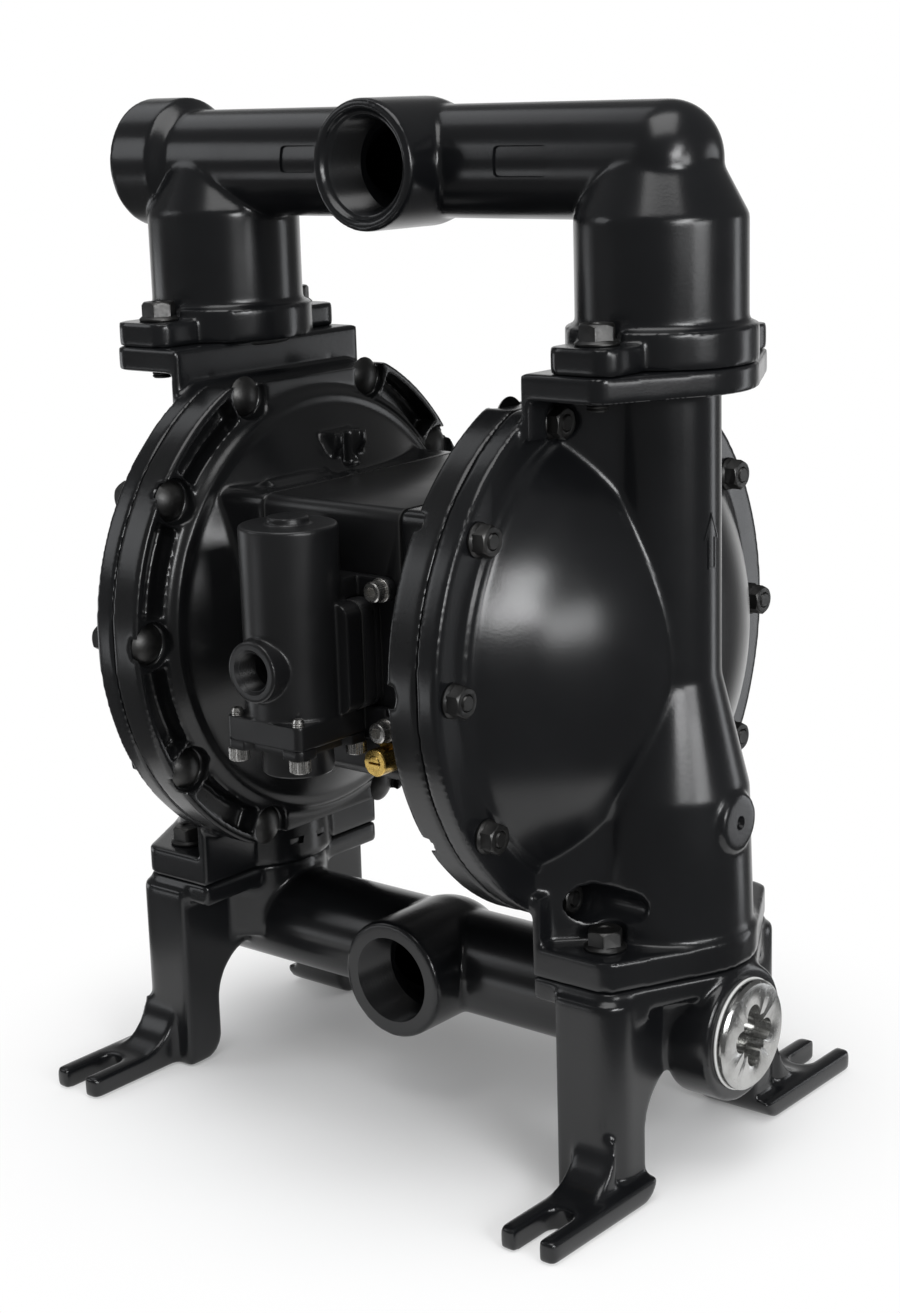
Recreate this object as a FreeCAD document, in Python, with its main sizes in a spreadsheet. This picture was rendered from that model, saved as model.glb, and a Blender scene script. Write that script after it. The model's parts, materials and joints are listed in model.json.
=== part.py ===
import FreeCAD, Part
import math
import os
import re
import Sketcher

# Air operated double diaphragm pump, 1 1/2 inch ports.
# X runs along the diaphragm rod, -Y is the front with the air valve, Z is up.
# The origin is on the floor, under the middle of the pump.

doc = FreeCAD.newDocument("diaphragm_pump")
sheet = doc.addObject("Spreadsheet::Sheet", "Sizes")

SIZES = (
    # Main axes and joint planes
    ("riser_x", 136.5),
    ("chamber_z", 249.0),
    ("joint_low_z", 104.5),
    ("joint_high_z", 385.0),
    ("inlet_z", 70.0),
    ("outlet_z", 473.5),
    # Clamped rim of the two chambers
    ("rim_r", 132.1),
    ("rim_flat", 118.0),
    ("rim_back_x", 79.2),
    ("split_x", 96.1),
    ("cap_flange_x", 107.7),
    ("clamp_edge", 11.3),
    ("clamp_step_deg", 34.0),
    ("clamp_r", 4.0),
    ("hole_play", 0.4),
    ("bead_edge", 20.1),
    ("bead_w", 7.5),
    ("bead_depth", 2.4),
    # Fluid cap
    ("dome_edge", 20.5),
    ("dome_rise", 47.8),
    ("cap_wall", 6.5),
    ("dome_lip", 1.6),
    ("dome_lip_w", 1.4),
    ("pipe_r", 26.7),
    ("pipe_bore_r", 20.5),
    ("cage_top_z", 186.0),
    ("cage_cone_z", 240.0),
    ("cage_r_top", 39.7),
    ("cage_r_low", 42.1),
    ("cage_bore_r", 33.0),
    ("neck_top_y", 43.0),
    ("neck_top_x", 132.5),
    ("neck_low_y", 64.0),
    ("neck_low_x", 133.0),
    ("trough_len", 40.0),
    ("cap_foot_t", 14.5),
    ("cap_head_t", 12.0),
    ("web_in_x", 107.0),
    ("web_t", 5.0),
    ("ring_r", 43.7),
    ("ear_lean_deg", 27.7),
    ("ear_reach", 68.0),
    ("ear_corner_r", 9.0),
    ("ear_bolt_y", 50.0),
    ("ear_bolt_r", 5.0),
    ("pad_z", 173.6),
    ("pad_r", 14.1),
    ("pad_out_x", 178.4),
    # Check valves
    ("ball_r", 25.0),
    ("ball_lift", 12.0),
    ("ball_play", 0.8),
    ("seat_gap", 0.08),
    ("seat_r", 37.5),
    ("seat_t", 10.0),
    ("seat_bore_r", 18.0),
    ("seat_land", 4.0),
    ("seat_mouth_r", 23.5),
    ("seat_fit", 0.1),
    ("seal_ring_r", 1.6),
    ("seal_play", 0.3),
    ("guide_t", 6.0),
    # Manifolds
    ("tube_r", 26.5),
    ("tube_bore_r", 20.5),
    ("riser_r", 39.2),
    ("riser_top_z", 449.6),
    ("flange_top_z", 402.2),
    ("ear_top_z", 397.0),
    ("ear_half", 18.0),
    ("ear_end", 66.0),
    ("port_r", 30.6),
    ("port_face_y", 46.1),
    ("thread_bore_r", 22.42),
    ("thread_depth", 26.0),
    ("port_mouth_r", 25.9),
    ("port_mouth_depth", 3.5),
    ("port_way_r", 19.0),
    ("elbow_round_r", 22.0),
    ("shoulder_top_r", 25.0),
    ("cage_top_bore_r", 18.5),
    ("end_boss_r", 33.0),
    ("end_boss_x", 180.6),
    ("end_boss_in_x", 158.0),
    ("outlet_boss_x", 185.8),
    ("boss_flare", 8.0),
    ("plug_head_r", 26.4),
    ("plug_head_t", 4.0),
    ("plug_seal_t", 1.2),
    ("plug_depth", 18.0),
    ("plug_square", 19.0),
    ("plug_square_depth", 9.0),
    ("thread_play", 0.1),
    ("rim_low_t", 11.7),
    ("riser_drop", 6.0),
    # Feet
    ("leg_in_x", 122.0),
    ("leg_out_x", 157.0),
    ("leg_y", 72.0),
    ("leg_back_y", 47.5),
    ("arch_z", 58.0),
    ("arch_r", 27.0),
    ("heel_r", 13.0),
    ("foot_heel_r", 10.0),
    ("cove_r", 24.0),
    ("side_cove_r", 15.0),
    ("foot_in_x", 133.1),
    ("foot_out_x", 164.4),
    ("foot_tip_y", 130.8),
    ("foot_t", 11.0),
    ("slot_r", 6.9),
    ("slot_end_y", 107.0),
    # Air caps and centre body
    ("hub_x", 43.0),
    ("hub_gasket_t", 1.0),
    ("hub_r", 60.0),
    ("dish_x", 70.0),
    ("dish_edge", 40.1),
    ("dish_wall", 7.0),
    ("shoulder_w", 4.0),
    ("face_edge", 20.1),
    ("pocket_gap", 2.2),
    ("pocket_edge", 4.5),
    ("pocket_floor_x", 90.5),
    ("body_half_y", 77.0),
    ("body_top_z", 320.0),
    ("body_low_z", 188.0),
    ("body_corner_r", 6.0),
    ("rod_bore_r", 12.54),
    # Diaphragm rod
    ("rod_r", 12.5),
    ("bush_r", 16.0),
    ("bush_len", 18.0),
    ("plate_r", 55.0),
    ("plate_t", 8.0),
    ("membrane_t", 4.0),
    ("rod_stroke", 20.0),
    ("end_screw_r", 6.0),
    ("end_head_r", 12.0),
    ("end_head_t", 8.0),
    ("fold_rise", 9.0),
    # Pilot rod
    ("pilot_r", 4.5),
    ("pilot_y", -22.0),
    ("pilot_dz", 34.0),
    ("pilot_tip_x", 69.6),
    ("pilot_sleeve_r", 8.0),
    ("pilot_play", 0.05),
    ("pilot_stroke", 4.0),
    # Air valve
    ("valve_depth", 15.5),
    ("valve_r", 23.3),
    ("valve_low_z", 213.5),
    ("valve_top_z", 314.6),
    ("valve_bore_r", 13.0),
    ("valve_flange_t", 11.5),
    ("valve_square", 23.5),
    ("valve_screw_at", 19.5),
    ("valve_foot_t", 10.5),
    ("valve_plate_t", 4.0),
    ("valve_gasket_t", 1.0),
    ("valve_spacer_t", 7.5),
    ("layer_half_x", 30.0),
    ("layer_low_z", 225.5),
    ("layer_top_z", 278.0),
    ("layer_corner_r", 7.0),
    ("mount_beside", 4.5),
    ("mount_below", 10.5),
    ("mount_above", 4.5),
    ("mount_ear_r", 5.8),
    ("inlet_air_z", 249.6),
    ("inlet_air_r", 14.7),
    ("inlet_air_len", 29.0),
    ("inlet_air_bore_r", 9.45),
    ("inlet_air_depth", 14.0),
    ("inlet_air_way_r", 6.5),
    ("knob_r", 10.0),
    ("knob_t", 3.6),
    ("end_cap_t", 4.5),
    ("end_cap_r", 17.0),
    ("end_cap_low_z", 196.5),
    ("spool_r", 12.95),
    ("spool_stroke", 12.0),
    ("spool_len", 68.0),
    # Muffler
    ("muffler_z", 249.0),
    ("muffler_r", 24.0),
    ("muffler_len", 58.0),
    ("muffler_neck_r", 13.0),
    ("slit_r", 2.0),
    ("slit_depth", 2.5),
    ("slit_margin", 12.0),
    # Small screws
    ("screw_r", 3.0),
    ("screw_head_r", 5.0),
    ("screw_head_t", 6.0),
    ("screw_key_r", 2.9),
    ("washer_r", 5.8),
    ("washer_t", 1.2),
    # Seats, seals and screws inside
    ("seal_line_r", 31.0),
    ("under_seat_r", 24.0),
    ("rod_seal_r", 17.0),
    ("rod_seal_t", 4.0),
    ("rod_play", 0.05),
    ("riser_wall", 5.5),
    ("hub_screw_r", 4.0),
    ("hub_screw_circle_r", 46.0),
    ("hub_screw_len", 18.0),
    ("end_thread_len", 22.0),
    ("pilot_waist", 12.0),
    # Rim bolts and nuts
    ("clamp_seat_x", 84.0),
    ("clamp_spot_r", 11.4),
    ("clamp_head_r", 10.0),
    ("clamp_head_t", 4.6),
    ("clamp_tip_x", 116.8),
    ("nut_flange_r", 8.0),
    ("nut_flange_t", 2.2),
    ("nut_corner_r", 7.5),
    ("nut_t", 8.4),
    # Flange bolts
    ("ear_bolt_flange_r", 10.0),
    ("spot_play", 0.6),
    ("bolt_pocket_t", 26.0),
    ("ear_bolt_flange_t", 2.2),
    ("ear_bolt_corner_r", 8.7),
    ("ear_bolt_head_t", 9.5),
    ("top_bolt_len", 29.0),
    ("low_bolt_len", 32.0),
    ("low_thread_depth", 22.0),
    # Cast details
    ("lug_depth", 17.0),
    ("lug_half_y", 12.0),
    ("lug_low", 76.0),
    ("lug_tall", 15.0),
    ("lug_eye_r", 6.0),
    ("duct_r", 8.5),
    ("duct_len", 44.0),
    ("duct_x", 56.0),
    ("duct_start_y", 18.0),
    ("duct_dz", 66.0),
    ("port_back_y", 4.0),
    ("leg_corner_r", 12.0),
    ("foot_corner_r", 3.0),
    ("port_slot_half", 12.0),
    ("exhaust_depth", 32.0),
    ("neck_in", 18.0),
    # Air valve details
    ("square_corner_r", 3.5),
    ("chest_half", 20.0),
    ("mount_ear_t", 4.5),
    ("mount_screw_len", 16.0),
    ("valve_roof_t", 9.0),
    ("slide_half_x", 9.0),
    ("slide_low_z", 243.0),
    ("slide_len", 19.0),
    ("spigot_t", 4.5),
    ("spool_waist_r", 6.5),
    ("cap_screw_len", 19.5),
    ("cap_screw_short_len", 12.0),
    # Earthing clamp
    ("lug_clamp_r", 6.6),
    ("lug_clamp_len", 12.0),
    ("lug_clamp_x", 33.0),
    ("lug_clamp_z", 200.5),
    ("lug_tab_t", 3.0),
    ("lug_screw_r", 3.5),
)

for row, (alias, value) in enumerate(SIZES, start=1):
    sheet.set(f"A{row}", alias)
    sheet.set(f"B{row}", str(value))
    sheet.setAlias(f"B{row}", alias)
doc.recompute()

ALIASES = {alias for alias, _ in SIZES}

# Lengths that follow from others: sums of sizes, a minus sign takes one away
SUMS = {
    "clamp_circle_r": ("rim_r", "-clamp_edge"),
    "dome_r": ("rim_r", "-dome_edge"),
    "bead_out_r": ("rim_r", "-bead_edge"),
    "bead_in_r": ("bead_out_r", "-bead_w"),
    "face_in_r": ("rim_r", "-face_edge"),
    "shoulder_r": ("face_in_r", "-shoulder_w"),
    "dish_r": ("rim_r", "-dish_edge"),
    "pocket_in_r": ("face_in_r", "pocket_gap"),
    "pocket_out_r": ("rim_r", "-pocket_edge"),
    "valve_back_y": ("body_half_y", "valve_gasket_t", "valve_plate_t", "valve_spacer_t", "valve_gasket_t"),
    "valve_y": ("valve_back_y", "valve_depth"),
    "inlet_air_face_y": ("valve_y", "inlet_air_len"),
    "muffler_end_y": ("body_half_y", "muffler_len"),
    "mount_screw_x": ("layer_half_x", "mount_beside"),
    "mount_screw_low_z": ("layer_low_z", "-mount_below"),
    "mount_screw_top_z": ("layer_top_z", "mount_above"),
}
UP = FreeCAD.Vector(0, 0, 1)
ROTATIONS = {
    "Z": FreeCAD.Rotation(),
    "X": FreeCAD.Rotation(FreeCAD.Vector(0, 1, 0), 90),
    "Y": FreeCAD.Rotation(FreeCAD.Vector(1, 0, 0), -90),
    "-Z": FreeCAD.Rotation(FreeCAD.Vector(1, 0, 0), 180),
    "-Y": FreeCAD.Rotation(FreeCAD.Vector(1, 0, 0), 90),
    "-X": FreeCAD.Rotation(FreeCAD.Vector(0, 1, 0), -90),
}
TURN_ROUND = FreeCAD.Rotation(UP, 180)


def value(name):
    """The number of a size or of a sum of sizes."""
    if name.startswith("-"):
        return -value(name[1:])
    if name in SUMS:
        return sum(value(part) for part in SUMS[name])
    return float(sheet.get(name))


def formula(text):
    """Point every size's name in a formula at its cell, and write every sum out."""
    def point(match):
        name = match[0]
        if name in SUMS:
            return "(" + formula(" + ".join(SUMS[name])).replace("+ -", "- ") + ")"
        return "Sizes." + name if name in ALIASES else name

    return re.sub(r"[a-z_]+[a-z0-9_]*", point, str(text))


def bind(item, **properties):
    """Bind properties of an object to formulas of the sheet's sizes."""
    for name, text in properties.items():
        item.setExpression(name, formula(text))


def place(item, at=("0", "0", "0"), axis="Z"):
    """Stand an object at a place given by three formulas, its own Z along the axis."""
    item.Placement = FreeCAD.Placement(FreeCAD.Vector(), ROTATIONS[axis])
    for letter, text in zip("xyz", at):
        item.setExpression(f"Placement.Base.{letter}", formula(text))
    return item


def cylinder(name, radius, length, at, axis="Z"):
    """A round bar that starts at a place and runs along an axis."""
    item = doc.addObject("Part::Cylinder", name)
    bind(item, Radius=radius, Height=length)
    return place(item, at, axis)


def cone(name, radius_low, radius_high, length, at, axis="Z"):
    """A tapered bar that starts at a place and runs along an axis."""
    item = doc.addObject("Part::Cone", name)
    bind(item, Radius1=radius_low, Radius2=radius_high, Height=length)
    return place(item, at, axis)


def sphere(name, radius, at):
    """A ball at a place."""
    item = doc.addObject("Part::Sphere", name)
    bind(item, Radius=radius)
    return place(item, at)


def torus(name, ring, section, at, axis="Z"):
    """A round ring about an axis."""
    item = doc.addObject("Part::Torus", name)
    bind(item, Radius1=ring, Radius2=section)
    return place(item, at, axis)


def box(name, low, high):
    """A block between two corners."""
    item = doc.addObject("Part::Box", name)
    lengths = [f"({b}) - ({a})" for a, b in zip(low, high)]
    bind(item, Length=lengths[0], Width=lengths[1], Height=lengths[2])
    return place(item, low)


def fuse(name, pieces):
    """Several solids as one."""
    item = doc.addObject("Part::MultiFuse", name)
    item.Shapes = pieces
    item.Refine = True
    return item


def cut(name, base, tools):
    """A solid less the tools."""
    item = doc.addObject("Part::Cut", name)
    item.Base = base
    item.Tool = tools[0] if len(tools) == 1 else fuse(name + "_tools", tools)
    item.Refine = True
    return item


def common(name, first, second):
    """What two solids share."""
    item = doc.addObject("Part::MultiCommon", name)
    item.Shapes = [first, second]
    item.Refine = True
    return item


def rounded(name, base, radius, chosen):
    """A solid with a fillet on every edge that the test chooses."""
    doc.recompute()
    item = doc.addObject("Part::Fillet", name)
    item.Base = base
    size = value(radius)
    item.Edges = [(i, size, size) for i, edge in enumerate(base.Shape.Edges, start=1) if chosen(edge)]
    return item


def origin_plane(body, role):
    """One of a body's own three planes."""
    return next(item for item in body.Origin.OriginFeatures if item.Role == role)


def outline(body, plane, points):
    """A closed outline of straight sides in a body's plane, each corner held by two formulas."""
    sketch = body.newObject("Sketcher::SketchObject", body.Name + "_outline")
    sketch.AttachmentSupport = [(origin_plane(body, plane), "")]
    sketch.MapMode = "FlatFace"
    count = len(points)
    for i in range(count):
        sketch.addGeometry(Part.LineSegment(FreeCAD.Vector(i, 1, 0), FreeCAD.Vector(i + 1, 2, 0)), False)
    for i in range(count):
        sketch.addConstraint(Sketcher.Constraint("Coincident", i, 2, (i + 1) % count, 1))
    for i, (across, along) in enumerate(points):
        for kind, text in (("DistanceX", across), ("DistanceY", along)):
            number = sketch.addConstraint(Sketcher.Constraint(kind, -1, 1, i, 1, 1.0))
            sketch.setExpression(f"Constraints[{number}]", formula(text))
    return sketch


def turned(name, points, at=("0", "0", "0"), axis="X"):
    """A turned body: its outline is pairs of (distance along the axis, radius)."""
    body = doc.addObject("PartDesign::Body", name)
    plane = "YZ_Plane" if axis == "Y" else "XZ_Plane"
    pairs = [(r, a) for a, r in points] if axis == "Z" else points
    sketch = outline(body, plane, pairs)
    turn = body.newObject("PartDesign::Revolution", name + "_turn")
    turn.Profile = sketch
    turn.ReferenceAxis = (sketch, ["V_Axis" if axis == "Z" else "H_Axis"])
    turn.Angle = 360.0
    return place(body, at)


def padded(name, plane, points, length, at=("0", "0", "0")):
    """A plate: an outline in a plane, thickened along the plane's normal."""
    body = doc.addObject("PartDesign::Body", name)
    pad = body.newObject("PartDesign::Pad", name + "_pad")
    pad.Profile = outline(body, plane, points)
    pad.setExpression("Length", formula(length))
    return place(body, at)


def group(name, one, spots):
    """Copies of one fastener, each a separate solid, at a list of placements."""
    doc.recompute()
    item = doc.addObject("Part::Feature", name)
    item.Shape = Part.makeCompound([one.Shape.transformed(spot.toMatrix()) for spot in spots])
    return item


def at_point(x, y, z, axis="Z"):
    """A placement for a copy."""
    return FreeCAD.Placement(FreeCAD.Vector(x, y, z), ROTATIONS[axis])


def side_placement(side):
    """Right hand pieces stay as drawn, left hand ones are turned round the Z axis."""
    return FreeCAD.Placement(FreeCAD.Vector(), FreeCAD.Rotation() if side == "right" else TURN_ROUND)


NODES = []


def node(item, name):
    """Keep a finished sub-part under the name of its file."""
    item.Label = name
    NODES.append(item)
    return item


# Rim bolts: five at the front and five at the back, with a wider gap at top and bottom
CLAMP_ANGLES = [
    base + step * value("clamp_step_deg")
    for base in (180.0, 0.0)
    for step in (-2, -1, 0, 1, 2)
]


def clamp_spots():
    """Places of the rim bolts in the plane across the rod."""
    ring = value("clamp_circle_r")
    for angle in CLAMP_ANGLES:
        turn = math.radians(angle)
        yield angle, ring * math.cos(turn), value("chamber_z") + ring * math.sin(turn)


def ring_of_holes(name, radius, low, high):
    """The rim bolt holes as one tool."""
    holes = []
    for number, angle in enumerate(CLAMP_ANGLES):
        turn = f"clamp_circle_r * cos({angle} deg)"
        rise = f"chamber_z + clamp_circle_r * sin({angle} deg)"
        holes.append(cylinder(f"{name}_{number}", radius, f"({high}) - ({low})", (low, turn, rise), "X"))
    return holes


# Fluid caps

def ear_outline():
    """Half way round the flange of a fluid cap: flat inboard side, two ears, sides that touch the ring."""
    corner = "riser_x + (ring_r - ear_reach * sin(ear_lean_deg * 1 deg)) / cos(ear_lean_deg * 1 deg)"
    touch_x = "riser_x + ring_r * cos(ear_lean_deg * 1 deg)"
    touch_y = "ring_r * sin(ear_lean_deg * 1 deg)"
    return [
        ("web_in_x", "-ear_reach"),
        (corner, "-ear_reach"),
        (touch_x, f"-({touch_y})"),
        (touch_x, touch_y),
        (corner, "ear_reach"),
        ("web_in_x", "ear_reach"),
    ]


def ear_plate(name, low, thick):
    """A flange of a fluid cap, at a height."""
    plate = padded(name + "_plate", "XY_Plane", ear_outline(), thick, ("0", "0", low))
    doc.recompute()
    reach = value("ear_reach")
    soft = rounded(
        name + "_soft", plate, "ear_corner_r",
        lambda e: upright(e) and abs(abs(e.Vertexes[0].Y) - reach) < 0.1 and e.Vertexes[0].X > value("riser_x"),
    )
    disc = cylinder(name + "_disc", "ring_r", thick, ("riser_x", "0", low))
    side = box(name + "_side", ("web_in_x", "-ring_r", low), ("riser_x + ring_r", "ring_r", f"{low} + {thick}"))
    trimmed = common(name + "_trimmed", disc, side)
    return fuse(name, [soft, trimmed])


def upright(edge):
    """Whether an edge is a straight one along Z."""
    if edge.Curve.TypeId != "Part::GeomLine":
        return False
    return abs(abs(edge.Curve.Direction.z) - 1) < 1e-6


def ball_guides(name, joint, wall_r):
    """Four ribs that guide a check ball and stop its lift, cast into the wall round it."""
    low = f"{joint} + seat_t + 2"
    high = f"{joint} + ball_seat_height + ball_r + ball_lift + 5"
    low, high = (text.replace("ball_seat_height", BALL_HEIGHT) for text in (low, high))
    along = box(
        name + "_along",
        (f"riser_x - {wall_r} - 1", "-guide_t / 2", low), (f"riser_x + {wall_r} + 1", "guide_t / 2", high),
    )
    across = box(
        name + "_across",
        ("riser_x - guide_t / 2", f"-{wall_r} - 1", low), ("riser_x + guide_t / 2", f"{wall_r} + 1", high),
    )
    top = f"{joint} + {BALL_HEIGHT} + ball_lift"
    way = cylinder(name + "_way", "ball_r + ball_play", f"{top} - ({low}) + 5", ("riser_x", "0", f"{low} - 5"))
    dome = sphere(name + "_dome", "ball_r + ball_play", ("riser_x", "0", top))
    eye = cylinder(name + "_eye", "ball_r / 2", f"{high} - ({low}) + 2", ("riser_x", "0", f"{low} - 1"))
    cross = fuse(name + "_cross", [along, across])
    inside = cylinder(name + "_inside", f"{wall_r} + 0.5", f"{high} - ({low}) + 2", ("riser_x", "0", f"{low} - 1"))
    return common(name, cut(name + "_freed", cross, [way, dome, eye]), inside)


# Height of a resting ball's centre above its joint plane, from the cone of the seat
SEAT_CONE = "atan((seat_mouth_r - seat_bore_r) / (seat_t - seat_land))"
BALL_HEIGHT = (
    "(seat_land + ((ball_r + seat_gap) - seat_bore_r * cos(" + SEAT_CONE + ")) / sin(" + SEAT_CONE + "))"
)


def nut_troughs(name):
    """Round ended troughs that give a spanner room at the two lowest rim nuts."""
    radius = "nut_flange_r + 2 * spot_play"
    tools = []
    for hand in (-1, 1):
        across = f"{hand} * clamp_circle_r * cos(2 * clamp_step_deg * 1 deg)"
        up = "chamber_z - clamp_circle_r * sin(2 * clamp_step_deg * 1 deg)"
        label = "front" if hand < 0 else "back"
        tools += [
            cylinder(f"{name}_{label}", radius, "trough_len", ("cap_flange_x", across, up), "X"),
            sphere(f"{name}_end_{label}", radius, ("cap_flange_x + trough_len", across, up)),
        ]
    return tools


def neck_outline(narrow_x, wide_y, narrow_y):
    """The wall from the flange of a fluid cap to its pipe, seen from above: it narrows towards the pipe."""
    return [
        ("web_in_x", f"-({wide_y})"), (narrow_x, f"-({narrow_y})"), ("riser_x", f"-({narrow_y})"),
        ("riser_x", narrow_y), (narrow_x, narrow_y), ("web_in_x", wide_y),
    ]


def fluid_cap(side):
    """A fluid cap: domed chamber cover, riser pipe, ball cage and two flanges, in one casting."""
    name = "fluid_cap_" + side
    rim = cylinder(name + "_rim", "rim_r", "cap_flange_x - split_x", ("split_x", "0", "chamber_z"), "X")
    flat = box(
        name + "_flat",
        ("split_x - 1", "-rim_r - 1", "chamber_z - rim_flat"), ("cap_flange_x + 1", "rim_r + 1", "chamber_z + rim_flat"),
    )
    rim = common(name + "_flange", rim, flat)
    lip = cylinder(name + "_lip", "dome_r + dome_lip_w", "dome_lip", ("cap_flange_x", "0", "chamber_z"), "X")
    ball = "((dome_r ^ 2 + dome_rise ^ 2) / (2 * dome_rise))"
    apex = "cap_flange_x + dome_rise"
    dome_ball = sphere(name + "_ball", ball, (f"{apex} - {ball}", "0", "chamber_z"))
    dome_box = box(
        name + "_dome_box",
        ("cap_flange_x - 2", "-rim_r", "chamber_z - rim_r"), (f"{apex} + 1", "rim_r", "chamber_z + rim_r"),
    )
    dome = common(name + "_dome", dome_ball, dome_box)
    pipe = cylinder(name + "_pipe", "pipe_r", "joint_high_z - cage_cone_z", ("riser_x", "0", "cage_cone_z"))
    cage_cone = cone(name + "_cone", "cage_r_top", "pipe_r", "cage_cone_z - cage_top_z", ("riser_x", "0", "cage_top_z"))
    cage = cone(name + "_cage", "cage_r_low", "cage_r_top", "cage_top_z - joint_low_z", ("riser_x", "0", "joint_low_z"))
    neck = padded(
        name + "_neck", "XY_Plane", neck_outline("neck_top_x", "neck_top_y", "pipe_r"),
        "joint_high_z - chamber_z", ("0", "0", "chamber_z"),
    )
    sill = padded(
        name + "_sill", "XY_Plane", neck_outline("neck_low_x", "neck_low_y", "cage_r_top"),
        "cage_top_z - joint_low_z", ("0", "0", "joint_low_z"),
    )
    head = ear_plate(name + "_head", "joint_high_z - cap_head_t", "cap_head_t")
    foot = ear_plate(name + "_foot", "joint_low_z", "cap_foot_t")
    web_top = box(
        name + "_web_top",
        ("web_in_x", "-ear_reach", "chamber_z + rim_flat - 12"), ("web_in_x + web_t", "ear_reach", "joint_high_z"),
    )
    web_low = box(
        name + "_web_low",
        ("web_in_x", "-ear_reach", "joint_low_z"), ("web_in_x + web_t", "ear_reach", "chamber_z - rim_flat + 12"),
    )
    pad = cylinder(name + "_pad", "pad_r", "pad_out_x - riser_x", ("riser_x", "0", "pad_z"), "X")
    outside = fuse(
        name + "_outside", [rim, lip, dome, pipe, cage_cone, cage, neck, sill, head, foot, web_top, web_low, pad],
    )
    seat = cylinder(name + "_seat", "seat_r + seat_fit", "seat_t + 1", ("riser_x", "0", "joint_low_z - 1"))
    top_groove = seal_groove(name + "_top_groove", "joint_high_z")
    hollow_ball = sphere(name + "_hollow_ball", f"{ball} - cap_wall", (f"{apex} - {ball}", "0", "chamber_z"))
    mouth_box = box(
        name + "_mouth_box",
        ("split_x - 1", "-bead_in_r", "chamber_z - bead_in_r"), (f"{apex} + 1", "bead_in_r", "chamber_z + bead_in_r"),
    )
    hollow = common(name + "_hollow", hollow_ball, mouth_box)
    groove = cylinder(name + "_groove", "bead_out_r", "bead_depth + 1", ("split_x - 1", "0", "chamber_z"), "X")
    throat = cylinder(name + "_throat", "bead_in_r - 4", "cap_wall + 1", ("split_x - 1", "0", "chamber_z"), "X")
    bore = cylinder(name + "_bore", "pipe_bore_r", "joint_high_z - chamber_z + 1", ("riser_x", "0", "chamber_z"))
    cage_bore = cylinder(
        name + "_cage_bore", "cage_bore_r", "cage_top_z - 4 - joint_low_z + 1", ("riser_x", "0", "joint_low_z - 1"),
    )
    taper = cone(
        name + "_taper", "cage_bore_r", "pipe_bore_r", "cage_cone_z - cage_top_z", ("riser_x", "0", "cage_top_z - 5"),
    )
    link = cylinder(name + "_link", "pipe_bore_r", "chamber_z - cage_top_z", ("riser_x", "0", "cage_top_z"))
    holes = ring_of_holes(name + "_hole", "clamp_r + hole_play", "split_x - 1", "cap_flange_x + 12")
    bolt_holes = [
        cylinder(
            f"{name}_{end}_{hand}", "ear_bolt_r + hole_play", f"{thick} + 2", ("riser_x", f"{sign}ear_bolt_y", low),
        )
        for end, low, thick in (
            ("head", "joint_high_z - cap_head_t - 1", "cap_head_t"), ("foot", "joint_low_z - 1", "cap_foot_t"),
        )
        for hand, sign in (("front", "-"), ("back", "1 * "))
    ]
    bolt_holes += [
        cylinder(
            f"{name}_spot_{hand}", "ear_bolt_flange_r + spot_play", "bolt_pocket_t",
            ("riser_x", f"{sign}ear_bolt_y", "joint_low_z + cap_foot_t"),
        )
        for hand, sign in (("front", "-"), ("back", "1 * "))
    ]
    bolt_holes += ring_of_holes(
        name + "_nut_way", "nut_flange_r + 2 * spot_play", "cap_flange_x", "cap_flange_x + nut_t + 1",
    )
    bolt_holes += nut_troughs(name + "_trough")
    whole = box(
        name + "_whole", ("split_x", "-rim_r - 1", "joint_low_z"), ("riser_x + ring_r + pad_r", "rim_r + 1", "joint_high_z"),
    )
    outside = common(name + "_kept", outside, whole)
    carved = cut(
        name + "_carved", outside, [hollow, throat, groove, bore, cage_bore, taper, link, seat, top_groove] + holes + bolt_holes,
    )
    guides = ball_guides(name + "_guides", "joint_low_z", "cage_bore_r")
    done = fuse(name, [carved, guides])
    done.Placement = side_placement(side)
    return node(done, name)


def seal_groove(name, joint):
    """Groove for the seal ring under a valve seat, in the face below the seat."""
    at = ("riser_x", "0", f"{joint} - 2 * seal_ring_r - seal_play")
    outer = cylinder(name + "_wide", "seal_line_r + seal_ring_r + seal_play", "2 * seal_ring_r + 0.4", at)
    inner = cylinder(name + "_core", "seal_line_r - seal_ring_r - seal_play", "2 * seal_ring_r + 0.4", at)
    return cut(name, outer, [inner])


# Air caps

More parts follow.
